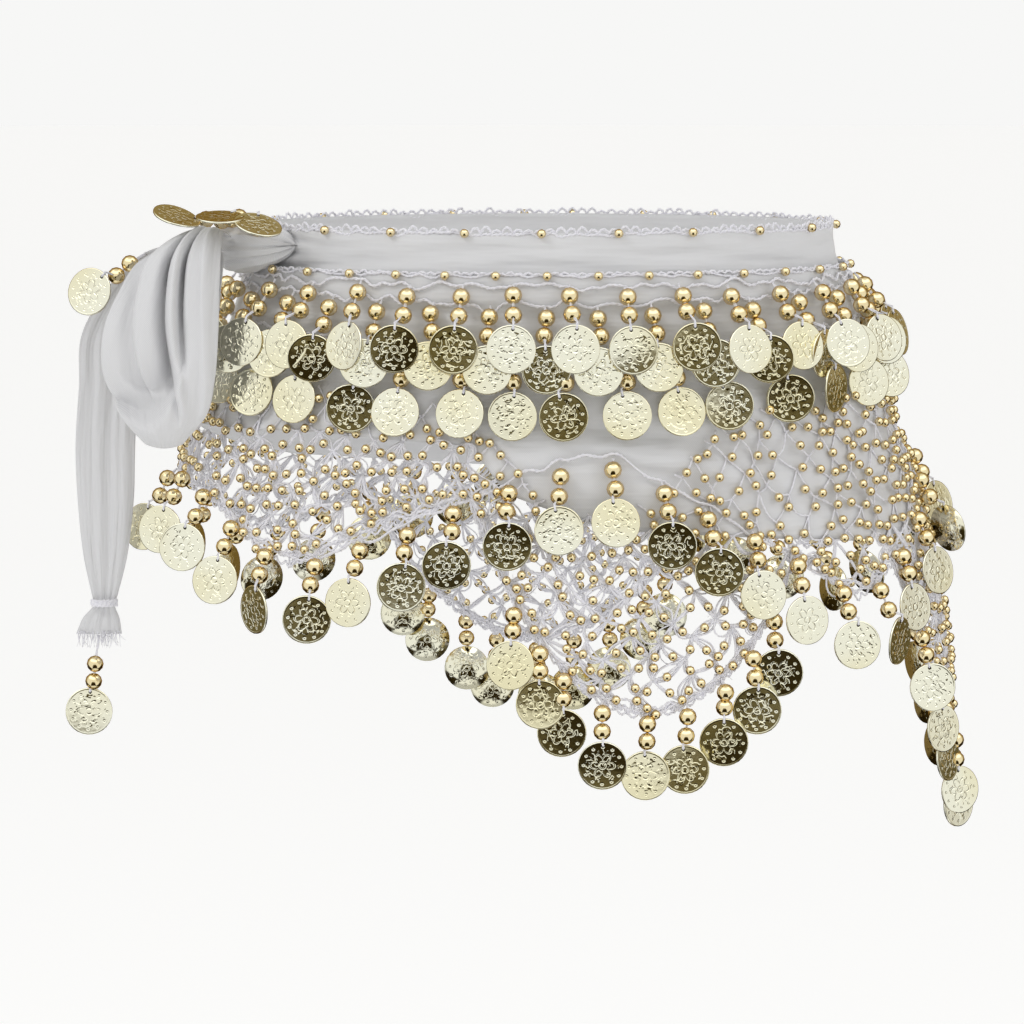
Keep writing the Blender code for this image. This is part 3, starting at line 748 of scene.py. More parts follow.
def hem_height(angle):
    """Height of the net's hem. From a peak to a point it falls by one less a power of what is left of the
    way, so it falls fast and then flattens.
    """
    angle = np.atleast_1d(angle)
    height = np.zeros_like(angle, dtype=float)
    for first, second in zip(HEM[:-1], HEM[1:]):
        peak, tip = (first, second) if first[1] > second[1] else (second, first)
        share = np.clip((angle - peak[0]) / (tip[0] - peak[0]), 0.0, 1.0)
        fallen = 1.0 - (1.0 - share) ** first[2]
        inside = (angle >= first[0]) & (angle <= second[0])
        height = np.where(inside, peak[1] + (tip[1] - peak[1]) * fallen, height)
    return height


def net_top(angle):
    """Height where the net begins, straight between its table's places."""
    rows = np.array(NET_TOP)
    return np.interp(angle, rows[:, 0], rows[:, 1])


def net_knots(first, last, rng):
    """Angles and heights of the trellis's knots: level rows, each second one shifted by half a cell, with
    normal offsets. They are spaced by the ellipse's length, the integral of its speed.
    """
    wide, deep = half_axes(NET_GIRTH_HEIGHT)
    fine = np.linspace(first, last, MEASURE_STEPS)
    turn = np.radians(fine)
    speed = np.radians(1.0) * np.hypot(wide * np.cos(turn), deep * np.sin(turn))
    run = np.concatenate([[0.0], np.cumsum(0.5 * (speed[1:] + speed[:-1]) * np.diff(fine))])
    columns = int(run[-1] // CELL_WIDTH)
    column, level = np.meshgrid(np.arange(columns + 1), np.arange(NET_LEVELS))
    arc = (column + 0.5 * (level % 2)) * run[-1] / (columns + 0.5)
    arc += rng.normal(0.0, SIDE_SCATTER, column.shape)
    height = FIRST_LEVEL - CELL_FALL * level + rng.normal(0.0, FALL_SCATTER, column.shape)
    return np.interp(arc, run, fine), height


def net_strands(first, last, rng):
    """Paths of the strands, each straight between two knots with a half sine of sag, and cut to the
    stretch between the net's top and its hem.
    """
    angle, height = net_knots(first, last, rng)
    starts, ends = [], []
    for level in range(NET_LEVELS - 1):
        for step in (0, 1) if level % 2 else (-1, 0):
            keep = np.arange(max(0, -step), angle.shape[1] - max(0, step))
            starts.append(np.stack([angle[level, keep], height[level, keep]], axis=-1))
            ends.append(np.stack([angle[level + 1, keep + step], height[level + 1, keep + step]], axis=-1))
    starts, ends = np.concatenate(starts)[:, None], np.concatenate(ends)[:, None]
    share = np.linspace(0.0, 1.0, 31)
    places = starts + (ends - starts) * share[:, None]
    across, up = places[..., 0], places[..., 1]
    inside = (up > hem_height(across.ravel()).reshape(across.shape)) & (up < net_top(across))
    inside &= (across > first) & (across < last)
    enough = inside.sum(axis=1) > 7
    low = share[np.argmax(inside, axis=1)][enough]
    high = share[len(share) - 1 - np.argmax(inside[:, ::-1], axis=1)][enough]
    along = low[:, None] + (high - low)[:, None] * np.linspace(0.0, 1.0, STRAND_STEPS)
    starts, ends = starts[enough], ends[enough]
    places = starts + (ends - starts) * along[..., None]
    sag = np.sin(np.pi * along) * rng.normal(0.0, 1.0, (len(starts), 1))
    return places[..., 0] + 0.45 * sag, places[..., 1] + 0.9 * sag - 1.2 * np.sin(np.pi * along)


def hem_cord(first, last, seed):
    """The thick crocheted cord on the hem: two uneven lines of yarn, with small hanging loops along it."""
    rng = np.random.default_rng(seed)
    line, outs = edge_line(hem_height, (first, last), 450, 0.8, 0.8, NET_OUT, rng)
    rise = 1.6 + wander(450, 1.2, rng)
    angle, reach = loop_angles(hem_height, (first, last), HEM_LOOP_PITCH, 6)
    heights = hem_height(angle.ravel()).reshape(angle.shape) - HEM_LOOP_FALL * reach
    loops = on_hips(angle, heights, NET_OUT + 0.3)
    return joined(
        [
            crocheted(line, outs, 0.6, 2.6, seed),
            crocheted(line + outs * 0.5 + [0.0, 0.0, 1.0] * rise[:, None], outs, 0.42, 3.1, seed + 1),
            crocheted(loops, outward(angle, heights), 0.42, 1.8, seed + 2),
        ]
    )


def add_net(name, node, first, last, seed):
    """One half of the net with its beads. Strands that hang free are thicker than those that lie on the
    cloth, with loose threads that swing out beside them by a half sine, and short curled hairs.
    """
    rng = np.random.default_rng(seed)
    angle, height = net_strands(first, last, rng)
    arch = np.sin(np.linspace(0.0, np.pi, STRAND_STEPS))
    paths = on_hips(angle, height, NET_OUT + 0.5 * arch * rng.normal(0.0, 1.0, (len(angle), 1)))
    outs = outward(angle, height)
    lying = height.mean(axis=1) > panel_edge(angle.mean(axis=1))
    free_paths, free_outs = paths[~lying], outs[~lying]
    shapes = [
        crocheted(free_paths, free_outs, THREAD, 2.3, seed + 1),
        crocheted(paths[lying], outs[lying], LYING_SHARE * THREAD, 2.3, seed + 2),
        hem_cord(first, last, seed + 3),
    ]
    beside = unit(np.cross(np.gradient(free_paths, axis=1), free_outs))
    for radius in LOOSE_THREADS:
        spread = rng.normal(0.0, LOOSE_SPREAD, (len(free_paths), 1, 1)) * arch[:, None]
        shapes.append(tubes(free_paths + beside * spread, free_outs, radius, 3))
    strand, step = rng.integers(0, len(free_paths), HAIR_COUNT), rng.integers(0, STRAND_STEPS, HAIR_COUNT)
    reach = np.linspace(0.0, 1.0, 4)[:, None]
    curl = rng.normal(0.0, 1.1, (HAIR_COUNT, 1, 3)) * reach
    curl = curl + rng.normal(0.0, 1.0, (HAIR_COUNT, 1, 3)) * reach**2
    hairs = free_paths[strand, step][:, None] + curl
    hair_outs = np.broadcast_to(free_outs[strand, step][:, None], hairs.shape)
    shapes.append(tubes(hairs, hair_outs, HAIR_RADIUS, 3))
    new_piece(name + "_threads", [(joined(shapes), yarn)], (node,))
    draw = rng.uniform(size=len(paths))
    draw[np.linalg.norm(paths[:, -1] - paths[:, 0], axis=1) < SHORTEST_BEADED] = 1.0
    middle = STRAND_STEPS // 2
    one, two = draw < ONE_BEAD_SHARE, draw < TWO_BEADS_SHARE
    centres = np.concatenate([paths[one, middle], paths[two, middle + 3]])
    centres += np.concatenate([outs[one, middle], outs[two, middle + 3]]) * BEAD_OUT
    centres += rng.normal(0.0, BEAD_SCATTER, centres.shape)
    apart = np.linalg.norm(centres[:, None] - centres, axis=-1)
    centres = centres[~np.triu(apart < BEAD_GAP, 1).any(axis=0)]
    new_piece(name + "_beads", [(beads_at(SMALL_BEAD, centres), bead_metal)])


add_net("back_net", "net_back", NET_START, NET_SEAM, 41)
add_net("front_net", "net_front", NET_SEAM, NET_END, 57)

# Coin drops: two large gold beads over a thin stamped coin of pale gold metal, on a yarn that passes
# through the coin's hole. Rows of them are tied to a crocheted chain, which is sewn on the cloth.
COIN_RADIUS = 10.4
COIN_PROFILE = (
    # radius, place out
    (0.0, 0.38),
    (0.55 * COIN_RADIUS, 0.38),
    (0.91 * COIN_RADIUS, 0.38),
    (0.93 * COIN_RADIUS, 0.38),
    (0.96 * COIN_RADIUS, 0.50),
    (COIN_RADIUS, 0.38),
    (COIN_RADIUS, -0.30),
    (0.0, -0.35),
)
COIN_SEGMENTS = 28
HOLE_PLACE = 0.82
DOT_RING = 0.77
FIRST_BEAD, SECOND_BEAD, COIN_CENTRE = 4.6, 12.1, 26.2

# Which coins are dark: their order steps by a share of the whole, and none is dark near the direction
# from which a coin would have to turn far to mirror an opening
DARK_STEP, HALF_DARK_SHARE = 0.23, 0.18
BRIGHT_SIDE, DARK_FROM, HALF_DARK_FROM = 75.0, 33.0, 45.0

# How coins turn, in degrees: beside the bow and on the far side, by the direction where the turn starts,
# its gain and its most; towards an opening, by its most; and away, by its least and most. Then how far
# dark, half dark and bright coins lean
BOW_SIDE_TURN, FAR_SIDE_TURN, TURNED_SIDES = (26.0, 1.35, 50.0), (30.0, 0.8, 36.0), 110.0
OPENING_TURN, AWAY_TURN = 26.0, (48.0, 66.0)
DARK_LEAN, HALF_DARK_LEAN, BRIGHT_LEAN = 4.0, -1.7, -5.0
ROW_SWAY, ROW_UNEVENNESS, CROWDED_STEP = 0.35, 0.7, 1.6

# Distance of a drop from the cloth, at its chain, first bead, second bead and coin, and the share of
# coins that mirror a dark opening
PROFILES = {
    "top": (2.4, 6.2, 9.8, 14.0, 0.32),
    "middle": (2.4, 5.6, 7.0, 8.8, 0.32),
    "low": (2.4, 5.0, 5.0, 5.0, 0.34),
    "arch": (2.4, 5.0, 6.6, 7.5, 0.46),
    "point": (1.3, 3.7, 3.7, 3.7, 0.54),
    "loose": (0.0, 0.0, 0.0, 0.0, 0.0),
}


def distance(tree, first, second):
    """The square root of the sum of two squares."""
    square = add_node(tree, "Math", second, second, operation="MULTIPLY")[0]
    total = add_node(tree, "Math", first, first, square, operation="MULTIPLY_ADD")[0]
    return add_node(tree, "Math", total, operation="SQRT")[0]


def drawn_line(tree, value, middle, start, end):
    """A soft line where a value comes near its middle: a smooth step of their difference."""
    apart = add_node(tree, "Math", value, middle, operation="SUBTRACT")[0]
    apart = add_node(tree, "Math", apart, operation="ABSOLUTE")[0]
    return add_node(tree, "MapRange", apart, start, end, **SMOOTH)[0]


def make_coin_metal():
    """Polished pale gold plating, with a dark brown disc painted near its top as the shade seen through its
    hole, since the mesh is not pierced. The stamp is a generic rosette in a ring of twelve dots: the petals'
    edge swings by the cosine of three times the angle, and noise makes dents and flecks.
    """
    made, tree, shader, place, flat = new_material("pale gold coin", 0.13, 1.0)
    x = add_node(tree, "Math", flat[0], 2.0, -1.0, operation="MULTIPLY_ADD")[0]
    y = add_node(tree, "Math", flat[1], 2.0, -1.0, operation="MULTIPLY_ADD")[0]
    reach = distance(tree, x, y)
    turn = add_node(tree, "Math", y, x, operation="ARCTAN2")[0]
    whole = add_node(tree, "Math", turn, 2.0 * np.pi, operation="ADD")[0]
    twelfth = add_node(tree, "Math", whole, np.pi / 12.0, operation="PINGPONG")[0]
    beside = add_node(tree, "Math", twelfth, DOT_RING, operation="MULTIPLY")[0]
    away = add_node(tree, "Math", reach, DOT_RING, operation="SUBTRACT")[0]
    near = distance(tree, beside, away)
    full = add_node(tree, "MapRange", near, 0.085, 0.035, **SMOOTH)[0]
    hollow = add_node(tree, "MapRange", near, 0.045, 0.015, **SMOOTH)[0]
    dots = add_node(tree, "Math", full, hollow, operation="SUBTRACT")[0]
    triple = add_node(tree, "Math", turn, 3.0, operation="MULTIPLY")[0]
    wave = add_node(tree, "Math", triple, operation="COSINE")[0]
    wave = add_node(tree, "Math", wave, operation="ABSOLUTE")[0]
    petal = add_node(tree, "Math", wave, 0.24, 0.26, operation="MULTIPLY_ADD")[0]
    petals = drawn_line(tree, reach, petal, 0.055, 0.015)
    heart = drawn_line(tree, reach, 0.13, 0.045, 0.01)
    rosette = add_node(tree, "Math", petals, heart, operation="ADD")[0]
    stamp = add_node(tree, "Math", dots, rosette, operation="ADD")[0]
    dent = add_node(tree, "TexNoise", to={"Vector": place, "Scale": 420.0, "Detail": 1.0})[0]
    fleck = add_node(tree, "MapRange", dent, 0.5, 0.62, **SMOOTH)[0]
    field = add_node(tree, "MapRange", reach, 0.74, 0.64, **SMOOTH)[0]
    flecks = add_node(tree, "Math", fleck, field, operation="MULTIPLY")[0]
    dents = add_node(tree, "Math", dent, 0.25, operation="MULTIPLY")[0]
    rough = add_node(tree, "Math", flecks, 0.9, dents, operation="MULTIPLY_ADD")[0]
    height = add_node(tree, "Math", stamp, rough, operation="ADD")[0]
    raised = add_node(tree, "Bump", to={"Height": height, "Strength": 0.6, "Distance": 0.00024})[0]
    tree.links.new(raised, shader.inputs["Normal"])
    cloud = add_node(tree, "TexNoise", to={"Vector": place, "Scale": 22.0, "Detail": 1.0})[0]
    cloud = add_node(tree, "MapRange", cloud, 0.35, 0.7, **SMOOTH)[0]
    plain = add_node(tree, "Mix", cloud, to={6: linear("#f8f8ea"), 7: linear("#f2ecca")}, **COLOUR)[2]
    # Painted shade: a dark brown disc over the hole's place stands in for the shade seen through the hole
    above = add_node(tree, "Math", y, HOLE_PLACE, operation="SUBTRACT")[0]
    hole = add_node(tree, "MapRange", distance(tree, x, above), 0.085, 0.06, **SMOOTH)[0]
    colour = add_node(tree, "Mix", hole, to={6: plain, 7: linear("#2e2616")}, **COLOUR)[2]
    tree.links.new(colour, shader.inputs["Base Color"])
    shader.inputs["Specular Tint"].default_value = linear("#c9a860")
    return made


def turn_about(vectors, axis, degrees):
    """Vectors turned about unit axes: the part along the axis stays, the rest turns by cosine and sine."""
    angle = np.radians(degrees)[..., None]
    along = axis * (vectors * axis).sum(axis=-1, keepdims=True)
    return along + np.cos(angle) * (vectors - along) + np.sin(angle) * np.cross(axis, vectors)


def growing(angle, start, gain, most):
    """Degrees that grow with an angle from its start, up to the most."""
    return np.clip(gain * (angle - start), 0.0, most)


def coin_turns(outs, dark_share, rng, edge_on, tidy, tip):
    """How far each coin turns about its drop and leans, in degrees, and which ones are turned away.

    Normal draws make most of it. Dark coins turn half of the way from where they face to an opening of
    the room, so that they mirror it, half dark ones lean a little less, and bright ones lean over it.
    """
    count = len(outs)
    facing = np.degrees(np.arctan2(outs[:, 0], -outs[:, 1]))
    rising = np.degrees(np.arcsin(outs[:, 2]))
    opening = 360.0 / OPENINGS * np.round(2.0 * facing * OPENINGS / 360.0)
    order = np.mod(DARK_STEP * np.arange(count) + rng.uniform(size=count)[0], 1.0)
    beside = np.abs(np.abs(facing) - BRIGHT_SIDE)
    dark = (order < dark_share) & (beside > DARK_FROM)
    half_dark = (order > 1.0 - HALF_DARK_SHARE) & (beside > HALF_DARK_FROM) & (dark_share > 0.0)
    yaw = np.clip(rng.normal(0.0, 8.0 * tidy, count), -20.0, 20.0)
    to_camera = growing(facing, *FAR_SIDE_TURN) - growing(-facing, *BOW_SIDE_TURN)
    yaw += np.where((np.abs(facing) < TURNED_SIDES) & (outs[:, 2] < 0.5), to_camera, 0.0)
    to_opening = np.clip(facing - 0.5 * opening, -OPENING_TURN, OPENING_TURN)
    yaw = np.where(dark | half_dark, to_opening + 0.25 * yaw, yaw)
    away = rng.uniform(size=count) < edge_on
    yaw = np.where(away, rng.choice([-1.0, 1.0], count) * rng.uniform(*AWAY_TURN, count), yaw)
    lean = rng.normal(0.0, 2.5 * tidy, count)
    bright = np.minimum(lean, rising + BRIGHT_LEAN)
    plain = np.where(half_dark, rising + HALF_DARK_LEAN + 0.4 * lean, bright)
    lean = np.where(dark, rising + DARK_LEAN + 0.6 * lean, plain)
    return yaw, lean + tip, away


def drops_from(place, downs, outs, profile, lead, rng, edge_on, tidy=1.0, tip=0.0):
    """Gold and thread of hanging drops. Each swings, and its coin turns and bends by its own amount.

    place(fall, out) gives each drop's point at a distance down it and out from the cloth. A coin bends by
    a square function of its two axes, and its thread runs straight from stop to stop.
    """
    count = len(downs)
    outs = unit(outs - downs * (outs * downs).sum(axis=-1, keepdims=True))
    sides = np.cross(outs, downs)
    swing = rng.normal(0.0, 3.5 * tidy, count)
    _, first_out, second_out, coin_out, dark_share = profile

    def at(fall, out):
        """Places at a distance down the drops and out from the cloth, with the sine of their swing."""
        return place(fall, out) - sides * (np.sin(np.radians(swing)) * fall)[:, None]

    yaw, lean, away = coin_turns(outs, dark_share, rng, edge_on, tidy, tip)
    push = COIN_RADIUS * np.abs(np.sin(np.radians(yaw))) * np.where(away, 0.45, 0.3)
    push += COIN_RADIUS * 0.35 * np.abs(np.sin(np.radians(lean)))
    coin_axes = np.stack([sides, outs, -downs], axis=1)
    turns = ((outs, swing + rng.normal(0.0, 4.0, count)), (downs, yaw), (sides, lean))
    for axis, degrees in turns:
        coin_axes = turn_about(coin_axes, axis[:, None], np.repeat(degrees[:, None], 3, axis=1))
    centres = at(COIN_CENTRE + lead, coin_out) + outs * push[:, None]
    disc = turned(COIN_PROFILE, COIN_SEGMENTS)
    bends = rng.normal(0.0, 0.22, (count, 3))
    coins = scattered(disc, centres, coin_axes)
    x, z = disc[0][:, 0] / COIN_RADIUS, disc[0][:, 2] / COIN_RADIUS
    bend = bends @ np.stack([x * x, z * z, x * z])
    coins[0][:] += (bend[..., None] * coin_axes[:, 1:2]).reshape(-1, 3)
    jitter = rng.normal(0.0, 0.35, (2, count, 3))
    first = at(FIRST_BEAD + lead, first_out) + jitter[0]
    second = at(SECOND_BEAD + lead, second_out) + jitter[1]
    gold = [(coins, coin_metal), (beads_at(LARGE_BEAD, np.concatenate([first, second])), bead_metal)]
    hole = centres + coin_axes[:, 2] * HOLE_PLACE * COIN_RADIUS + coin_axes[:, 1] * 0.6
    over_edge = centres + coin_axes[:, 2] * (COIN_RADIUS + 1.0) + coin_axes[:, 1] * 0.8
    stops = np.stack([at(0.0, 0.5 * first_out), first, second, over_edge, hole], axis=1)
    share = np.linspace(0.0, 1.0, 13) * (stops.shape[1] - 1)
    index = np.minimum(share.astype(int), stops.shape[1] - 2)
    blend = (share - index)[:, None]
    path = stops[:, index] * (1.0 - blend) + stops[:, index + 1] * blend
    guide = np.repeat(sides[:, None], path.shape[1], axis=1)
    return gold, crocheted(path, guide, 0.4, 1.5, 5)


def add_row(name, node, angles, height_of, profile, lead, seed, edge_on=0.05, crowded=False):
    """A crocheted chain along the cloth with its drops, which follow the slope of the hips."""
    rng = np.random.default_rng(seed)
    angles = angles + rng.normal(0.0, ROW_SWAY, len(angles))
    heights = height_of(angles) + rng.normal(0.0, ROW_UNEVENNESS, len(angles))
    apart = np.arange(len(angles)) % 2 * (CROWDED_STEP if crowded else 0.0)

    def place(fall, out):
        """Places below the row's chain, with every second drop of a crowded row further out."""
        return on_hips(angles, heights - fall, out + apart)

    downs = unit(place(COIN_CENTRE, 0.0) - place(SECOND_BEAD, 0.0))
    gold, thread = drops_from(place, downs, outward(angles, heights), PROFILES[profile], lead, rng, edge_on)
    ends = (angles[0] - 1.0, angles[-1] + 1.0)
    line, outs = edge_line(height_of, ends, 560, 0.0, 1.1, PROFILES[profile][0] * 0.6, rng)
    cord = crocheted(line, outs, 0.5, 2.4, seed + 1)
    new_piece(name + "_coins", gold, (node,))
    new_piece(name + "_cord", [(joined([thread, cord]), yarn)])


coin_metal = make_coin_metal()
LARGE_BEAD = ball(radius=3.75, segments=12, rings=8)

# Level coin rows: three chains of drops sewn round the top of the panel, each lower and closer to the
# cloth than the one before, so that their coins overlap like scales.
DROP_PITCH = 22.5
ROW_START, ROW_END = -87.0, 243.0
ROWS = (
    # name, node, height at the sides, sag at the back and front, shift, profile
    ("top_row", "coin_row_top", -0.6, 0.2, 0.3, "top"),
    ("middle_row", "coin_row_middle", -4.0, 5.0, 12.8, "middle"),
    ("lower_row", "coin_row_lower", -18.0, 11.5, 7.2, "low"),
)

for seed, (name, node, height, sag, shift, profile) in enumerate(ROWS, start=71):

    def row_height(angle, height=height, sag=sag):
        """Height of this row: level, less a squared cosine that makes a sag at the back and the front."""
        return height - sag * np.cos(np.radians(angle)) ** 2

    row_angles = spaced_angles(row_height, ROW_START, ROW_END, shift, DROP_PITCH)
    add_row(name, node, row_angles, row_height, profile, 0.0, seed)

# Arched row: a chain of drops sewn on the net, which follows the shallow points of the hem and rises
# over the deep ones.
ARCH = (
    # angle, height
    (-86.0, -86.0),
    (-66.0, -83.0),
    (-48.0, -110.0),
    (-38.0, -120.0),
    (7.6, -68.0),
    (50.5, -135.0),
    (92.0, -74.0),
    (136.0, -130.0),
    (180.0, -72.0),
    (226.0, -124.0),
    (250.0, -92.0),
)
ARCH_ROUNDING = 5.0


def arch_height(angle):
    """Height of the arched chain: straight between its places, and averaged over a few degrees."""
    rows = np.array(ARCH)
    steps = np.linspace(-ARCH_ROUNDING, ARCH_ROUNDING, 9)
    around = np.interp(np.asarray(angle)[..., None] + steps, rows[:, 0], rows[:, 1])
    return around.mean(axis=-1)


arch_angles = spaced_angles(arch_height, ARCH[0][0], ARCH[-1][0], 0.0, DROP_PITCH)
add_row("arch_row", "arch_coins", arch_angles, arch_height, "arch", 0.0, 83, edge_on=0.12)

# Deep points of the hem: a closer chain of drops sewn on the cord round each, with one drop at its tip.
POINT_PITCH, POINT_REACH, POINT_LEAD = 18.5, 27.0, 1.0
SIDE_DROPS = 4
POINTS = (
    # name, node, angle of the tip
    ("back_point", "point_coins_back", 13.4),
    ("side_point", "point_coins_side", 90.0),
    ("front_point", "point_coins_front", 181.0),
)

for seed, (name, node, tip) in enumerate(POINTS, start=91):

    def mirrored_hem(angle, tip=tip):
        """The hem seen from the other side of the tip: its height at the mirrored angle."""
        return hem_height(2 * tip - angle)

    right = spaced_angles(hem_height, tip, tip + POINT_REACH, POINT_PITCH, POINT_PITCH)[:SIDE_DROPS]
    left = spaced_angles(mirrored_hem, tip, tip + POINT_REACH, POINT_PITCH, POINT_PITCH)[:SIDE_DROPS]
    point_angles = np.concatenate([2 * tip - left[::-1], [tip], right])
    add_row(name, node, point_angles, hem_height, "point", POINT_LEAD, seed, edge_on=0.0, crowded=True)

# Knot: the two ends of the chiffon, tied at the left hip. It is a lump with level gathers that run into
# the band, wrapped by one tight strip.
KNOT_ANGLE, KNOT_HEIGHT, KNOT_OUT = -70.0, 13.5, 9.4
KNOT_RADII = (11.6, 12.0)
KNOT_TAPER, KNOT_SINK = 1.7, 12.0
KNOT_ROWS, KNOT_COLUMNS = 48, 96


def add_knot():
    """A ball that follows the hips, by sines and cosines of its turn and its rise. Sines make furrows from
    its left to its right pole, a steep bump makes the wrap across its middle, and its right half is
    longer and sinks along the band.
    """
    turns = np.linspace(0.0, 2.0 * np.pi, KNOT_COLUMNS, endpoint=False)
    turn, rise = np.meshgrid(turns, np.linspace(0.03, np.pi - 0.03, KNOT_ROWS))
    furrows = 0.07 * np.sin(8.0 * turn + 2.2 * np.cos(rise)) + 0.03 * np.sin(19.0 * turn + 1.5 * np.cos(rise))
    slant = np.cos(rise) - 0.30 * np.sin(turn + 0.6) - 0.1
    wrap = 0.16 * np.exp(-((slant / 0.30) ** 4)) * (1.0 - 0.10 * np.sin(9.0 * slant + 3.0 * turn))
    swell = 0.90 + furrows * (1.0 - 0.6 * np.exp(-((slant / 0.34) ** 2))) + wrap
    run = -KNOT_RADII[1] * swell * np.cos(rise) * np.where(np.cos(rise) < 0.0, KNOT_TAPER, 1.0)
    across = KNOT_RADII[0] * swell * np.sin(rise)
    wide, deep = half_axes(KNOT_HEIGHT)
    at = np.radians(KNOT_ANGLE)
    angle = KNOT_ANGLE + np.degrees(run / np.hypot(wide * np.cos(at), deep * np.sin(at)))
    out = KNOT_OUT - KNOT_SINK * np.clip(run / 20.0, 0.0, 1.0) ** 2 + across * np.sin(turn)
    points = on_hips(angle, KNOT_HEIGHT + across * np.cos(turn), out)
    uv = np.stack([turn * KNOT_RADII[0], rise * KNOT_RADII[1]], axis=-1)
    new_piece("tied_knot", [(grid(points, uv, closed=True), chiffon)], ("knot",))


add_knot()

# Bow loop: half a bow of the tied chiffon end, gathered at the knot. It hangs over the knot in long
# folds, turns at its curled foot and goes back up behind itself.
RIBBON_WALL, RIBBON_WIDTH = 0.8, 45.0
BOW = (
    # y, z, left x, right x, fold
    (-43.6, 17.8, -143.5, -135.5, 0.1),
    (-55.0, 21.5, -155.0, -138.5, 0.5),
    (-65.0, 12.0, -172.0, -139.0, 1.0),
    (-68.0, -4.0, -182.0, -139.5, 1.0),
    (-69.0, -22.0, -189.0, -140.0, 1.0),
    (-68.5, -42.0, -189.5, -141.5, 1.0),
    (-66.0, -58.0, -183.0, -145.0, 0.8),
    (-60.0, -70.0, -174.0, -154.0, 0.5),
    (-54.0, -72.0, -172.0, -156.0, 0.3),
    (-49.0, -62.0, -178.0, -150.0, 0.4),
    (-47.0, -44.0, -186.0, -147.0, 0.5),
    (-47.0, -22.0, -186.0, -141.5, 0.5),
    (-47.5, -4.0, -178.0, -139.5, 0.4),
    (-47.6, 6.0, -162.0, -138.5, 0.3),
    (-42.8, 10.0, -147.5, -139.0, 0.1),
)
BOW_FOLDS = (
    # place across, half widths left and right of it, depth, start, end, drift
    (0.00, 0.14, 0.015, -5.0, 0.06, 0.44, 1.15),
    (0.27, 0.07, 0.020, -9.0, 0.02, 0.46, 1.00),
    (0.36, 0.03, 0.04, 3.5, 0.02, 0.44, 0.94),
    (0.51, 0.06, 0.018, -9.0, 0.04, 0.36, 0.75),
    (0.72, 0.04, 0.12, 2.5, 0.00, 0.48, 0.55),
    (0.35, 0.12, 0.12, 3.0, 0.60, 1.00, 0.00),
    (0.70, 0.09, 0.09, -3.5, 0.62, 1.00, -0.10),
)
BOW_CURLS = (
    # place along, half widths above and below it, depth, middle across, curve upwards, reach across
    (0.440, 0.070, 0.014, -12.0, 0.26, 0.5, 0.40),
    (0.385, 0.050, 0.010, -3.0, 0.40, 0.7, 0.22),
)


def smooth_rows(table, count):
    """The stations' table at many places along it, by the cubic that passes through each row with the
    slope between its neighbours.
    """
    rows = np.array(table)
    place = np.linspace(0.0, len(rows) - 1.0, count)
    index = np.minimum(place.astype(int), len(rows) - 2)
    t = (place - index)[:, None]
    padded = np.concatenate([2 * rows[:1] - rows[1:2], rows, 2 * rows[-1:] - rows[-2:-1]])
    a, b, c, d = (padded[index + k] for k in range(4))
    bent = (2 * a - 5 * b + 4 * c - d) * t**2
    return 0.5 * (2 * b + (c - a) * t + bent + (3 * b - a - 3 * c + d) * t**3)


def one_sided(away, before, after):
    """A Gaussian bump over a distance, with its own width on each side."""
    return np.exp(-((away / np.where(away < 0.0, before, after)) ** 2))


def ribbon(name, node, stations, folds, curls, count, crown):
    """A gathered ribbon of chiffon, straight across between its stations' two edges and moved square to
    its way by the folds along it, the curls across it and a parabola that crowns it.
    """
    rows = smooth_rows(stations, count[0])
    across = np.linspace(0.0, 1.0, count[1])
    along = np.linspace(0.0, 1.0, count[0])[:, None]
    run = run_of(rows[:, :2])
    way = unit(np.gradient(rows[:, :2], run, axis=0))
    depth = np.zeros(count)
    for place, before, after, deep, start, end, drift in folds:
        reach = np.clip((along - start) * 6.0, 0.0, 1.0) * np.clip((end - along) * 6.0, 0.0, 1.0)
        middle = place + drift * (along - start)
        depth += deep * np.sin(0.5 * np.pi * reach) * one_sided(across - middle, before, after)
    for place, before, after, deep, middle, curve, reach in curls:
        line = place - curve * (across - middle) ** 2
        fade = np.exp(-(((across - middle) / reach) ** 4))
        depth += deep * fade * one_sided(along - line, before, after)
    depth = depth * rows[:, 4:5] - crown * rows[:, 4:5] * (2.0 * across - 1.0) ** 2
    x = rows[:, 2:3] + (rows[:, 3:4] - rows[:, 2:3]) * across
    y = rows[:, 0:1] + way[:, 1:2] * depth
    z = rows[:, 1:2] - way[:, 0:1] * depth
    uv = np.stack(np.broadcast_arrays(run[:, None], across * RIBBON_WIDTH), axis=-1)
    piece = new_piece(name, [(grid(np.stack([x, y, z], axis=-1), uv), chiffon)], (node,))
    thicken(piece, RIBBON_WALL, 0.0)


ribbon("bow_cloth", "bow_loop", BOW, BOW_FOLDS, BOW_CURLS, count=(200, 110), crown=5.0)

# Tail: the other tied end of the chiffon, which hangs loose behind the bow. It is gathered, bound with
# yarn near its end, and frays into threads below the binding.
TAIL = (
    # y, z, left x, right x, fold
    (-31.6, 13.5, -152.0, -141.4, 0.1),
    (-28.0, 10.0, -172.0, -157.0, 0.5),
    (-24.0, -2.0, -187.0, -167.0, 0.8),
    (-20.0, -26.0, -202.0, -176.0, 1.0),
    (-17.0, -50.0, -204.0, -178.5, 1.0),
    (-14.0, -76.0, -206.0, -180.0, 1.0),
    (-12.0, -100.0, -205.5, -181.0, 1.0),
    (-10.0, -124.0, -203.5, -184.0, 0.8),
    (-9.0, -142.0, -200.0, -188.5, 0.5),
    (-9.0, -147.0, -199.0, -190.0, 0.4),
    (-9.0, -153.0, -204.0, -188.0, 0.8),
    (-9.0, -160.0, -207.0, -187.0, 1.0),
)
TAIL_FOLDS = (
    # place across, half widths left and right of it, depth, start, end, drift
    (0.24, 0.14, 0.07, -1.0, 0.00, 1.00, 0.06),
    (0.62, 0.16, 0.06, -1.6, 0.05, 1.00, -0.08),
    (0.85, 0.08, 0.08, 1.0, 0.30, 1.00, 0.03),
)
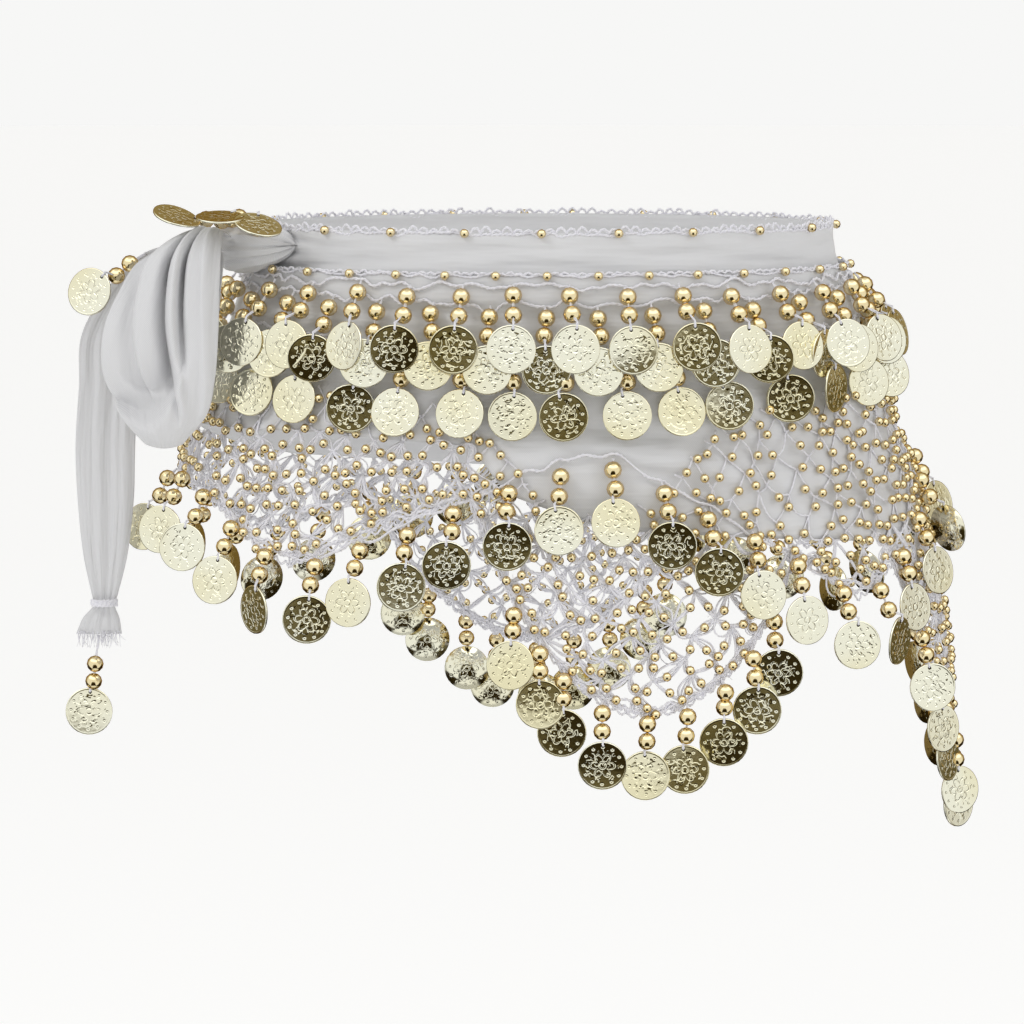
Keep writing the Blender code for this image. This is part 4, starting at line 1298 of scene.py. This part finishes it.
BINDING_CENTRE, BINDING_RADII = (-194.5, -9.0, -146.0), (5.4, 4.0)
BINDING_WIDTH, BINDING_TURNS = 2.6, 4
FRAY_COUNT, FRAY_STEPS = 70, 7
FRAY_LEFT, FRAY_WIDTH, FRAY_TOP = -206.5, 19.0, -158.5

ribbon("tail_cloth", "tie_tail", TAIL, TAIL_FOLDS, (), count=(110, 50), crown=1.6)


def add_tail_trim():
    """The yarn binding, a flat helix round the tail's neck, and frayed threads below the frill's edge that
    sway by the square of their length.
    """
    rng = np.random.default_rng(131)
    turn = np.linspace(0.0, 2.0 * np.pi * BINDING_TURNS, 120)
    wide, deep = BINDING_RADII
    climb = BINDING_WIDTH * (turn / turn[-1] - 0.5)
    ring = np.stack([wide * np.cos(turn), deep * np.sin(turn), climb], axis=-1)
    outs = unit(ring * [1.0, 1.0, 0.0])
    shapes = [crocheted((BINDING_CENTRE + ring)[None], outs[None], 0.5, 2.0, 132)]
    across = rng.uniform(0.0, 1.0, FRAY_COUNT)[:, None]
    share = np.linspace(0.0, 1.0, FRAY_STEPS)
    fall = share * rng.uniform(3.0, 8.0, (FRAY_COUNT, 1))
    sway = rng.normal(0.0, 1.6, (FRAY_COUNT, 1)) * share**2
    x = FRAY_LEFT + FRAY_WIDTH * across + sway
    y = BINDING_CENTRE[1] + rng.normal(0.0, 1.4, (FRAY_COUNT, 1)) + 0.6 * sway
    paths = np.stack(np.broadcast_arrays(x, y, FRAY_TOP - fall), axis=-1)
    outs = np.broadcast_to([0.0, -1.0, 0.0], paths.shape)
    shapes.append(tubes(paths, outs, 0.16 * np.linspace(1.0, 0.5, FRAY_STEPS), 4))
    new_piece("tail_binding", [(joined(shapes), yarn)])


add_tail_trim()

# Loose drops: single drops of two beads and a coin, tied to the knot and the tail by yarns of their own.
# Three lie on top of the knot.
LOOSE_DROPS = (
    # node, root, down, out, lead, degrees that the coin leans
    ("knot_coin_left", (-136.0, -39.2, 23.7), (-0.86, -0.50, 0.12), (0.1, -0.35, 0.93), 0.0, 0.0),
    ("knot_coin_middle", (-130.4, -39.6, 25.1), (-0.34, -0.94, 0.03), (0.05, 0.0, 1.0), 0.0, 12.0),
    ("knot_coin_right", (-123.8, -41.6, 21.2), (0.06, -0.99, 0.03), (0.25, 0.02, 0.95), 0.0, 24.0),
    ("tail_edge_coin", (-173.0, -29.4, 9.4), (-0.78, -0.27, -0.57), (-0.3, -0.9, 0.3), 4.0, 26.0),
    ("tail_tip_coin", (-197.0, -8.3, -160.6), (-0.13, 0.0, -1.0), (0.0, -1.0, 0.0), 8.0, 0.0),
)

for seed, (node, root, down, out, lead, tip) in enumerate(LOOSE_DROPS, start=151):
    rng = np.random.default_rng(seed)
    down, out = unit(np.array([down])), np.array([out])

    def hanging(fall, gap, root=root, down=down, out=out):
        """Place on a loose drop's own line."""
        return root + down * fall + out * gap

    gold, thread = drops_from(hanging, down, out, PROFILES["loose"], lead, rng, 0.0, 0.3, tip)
    name = node.replace("_coin", "")
    new_piece(name + "_drop", gold, (node,))
    new_piece(name + "_thread", [(thread, yarn)])
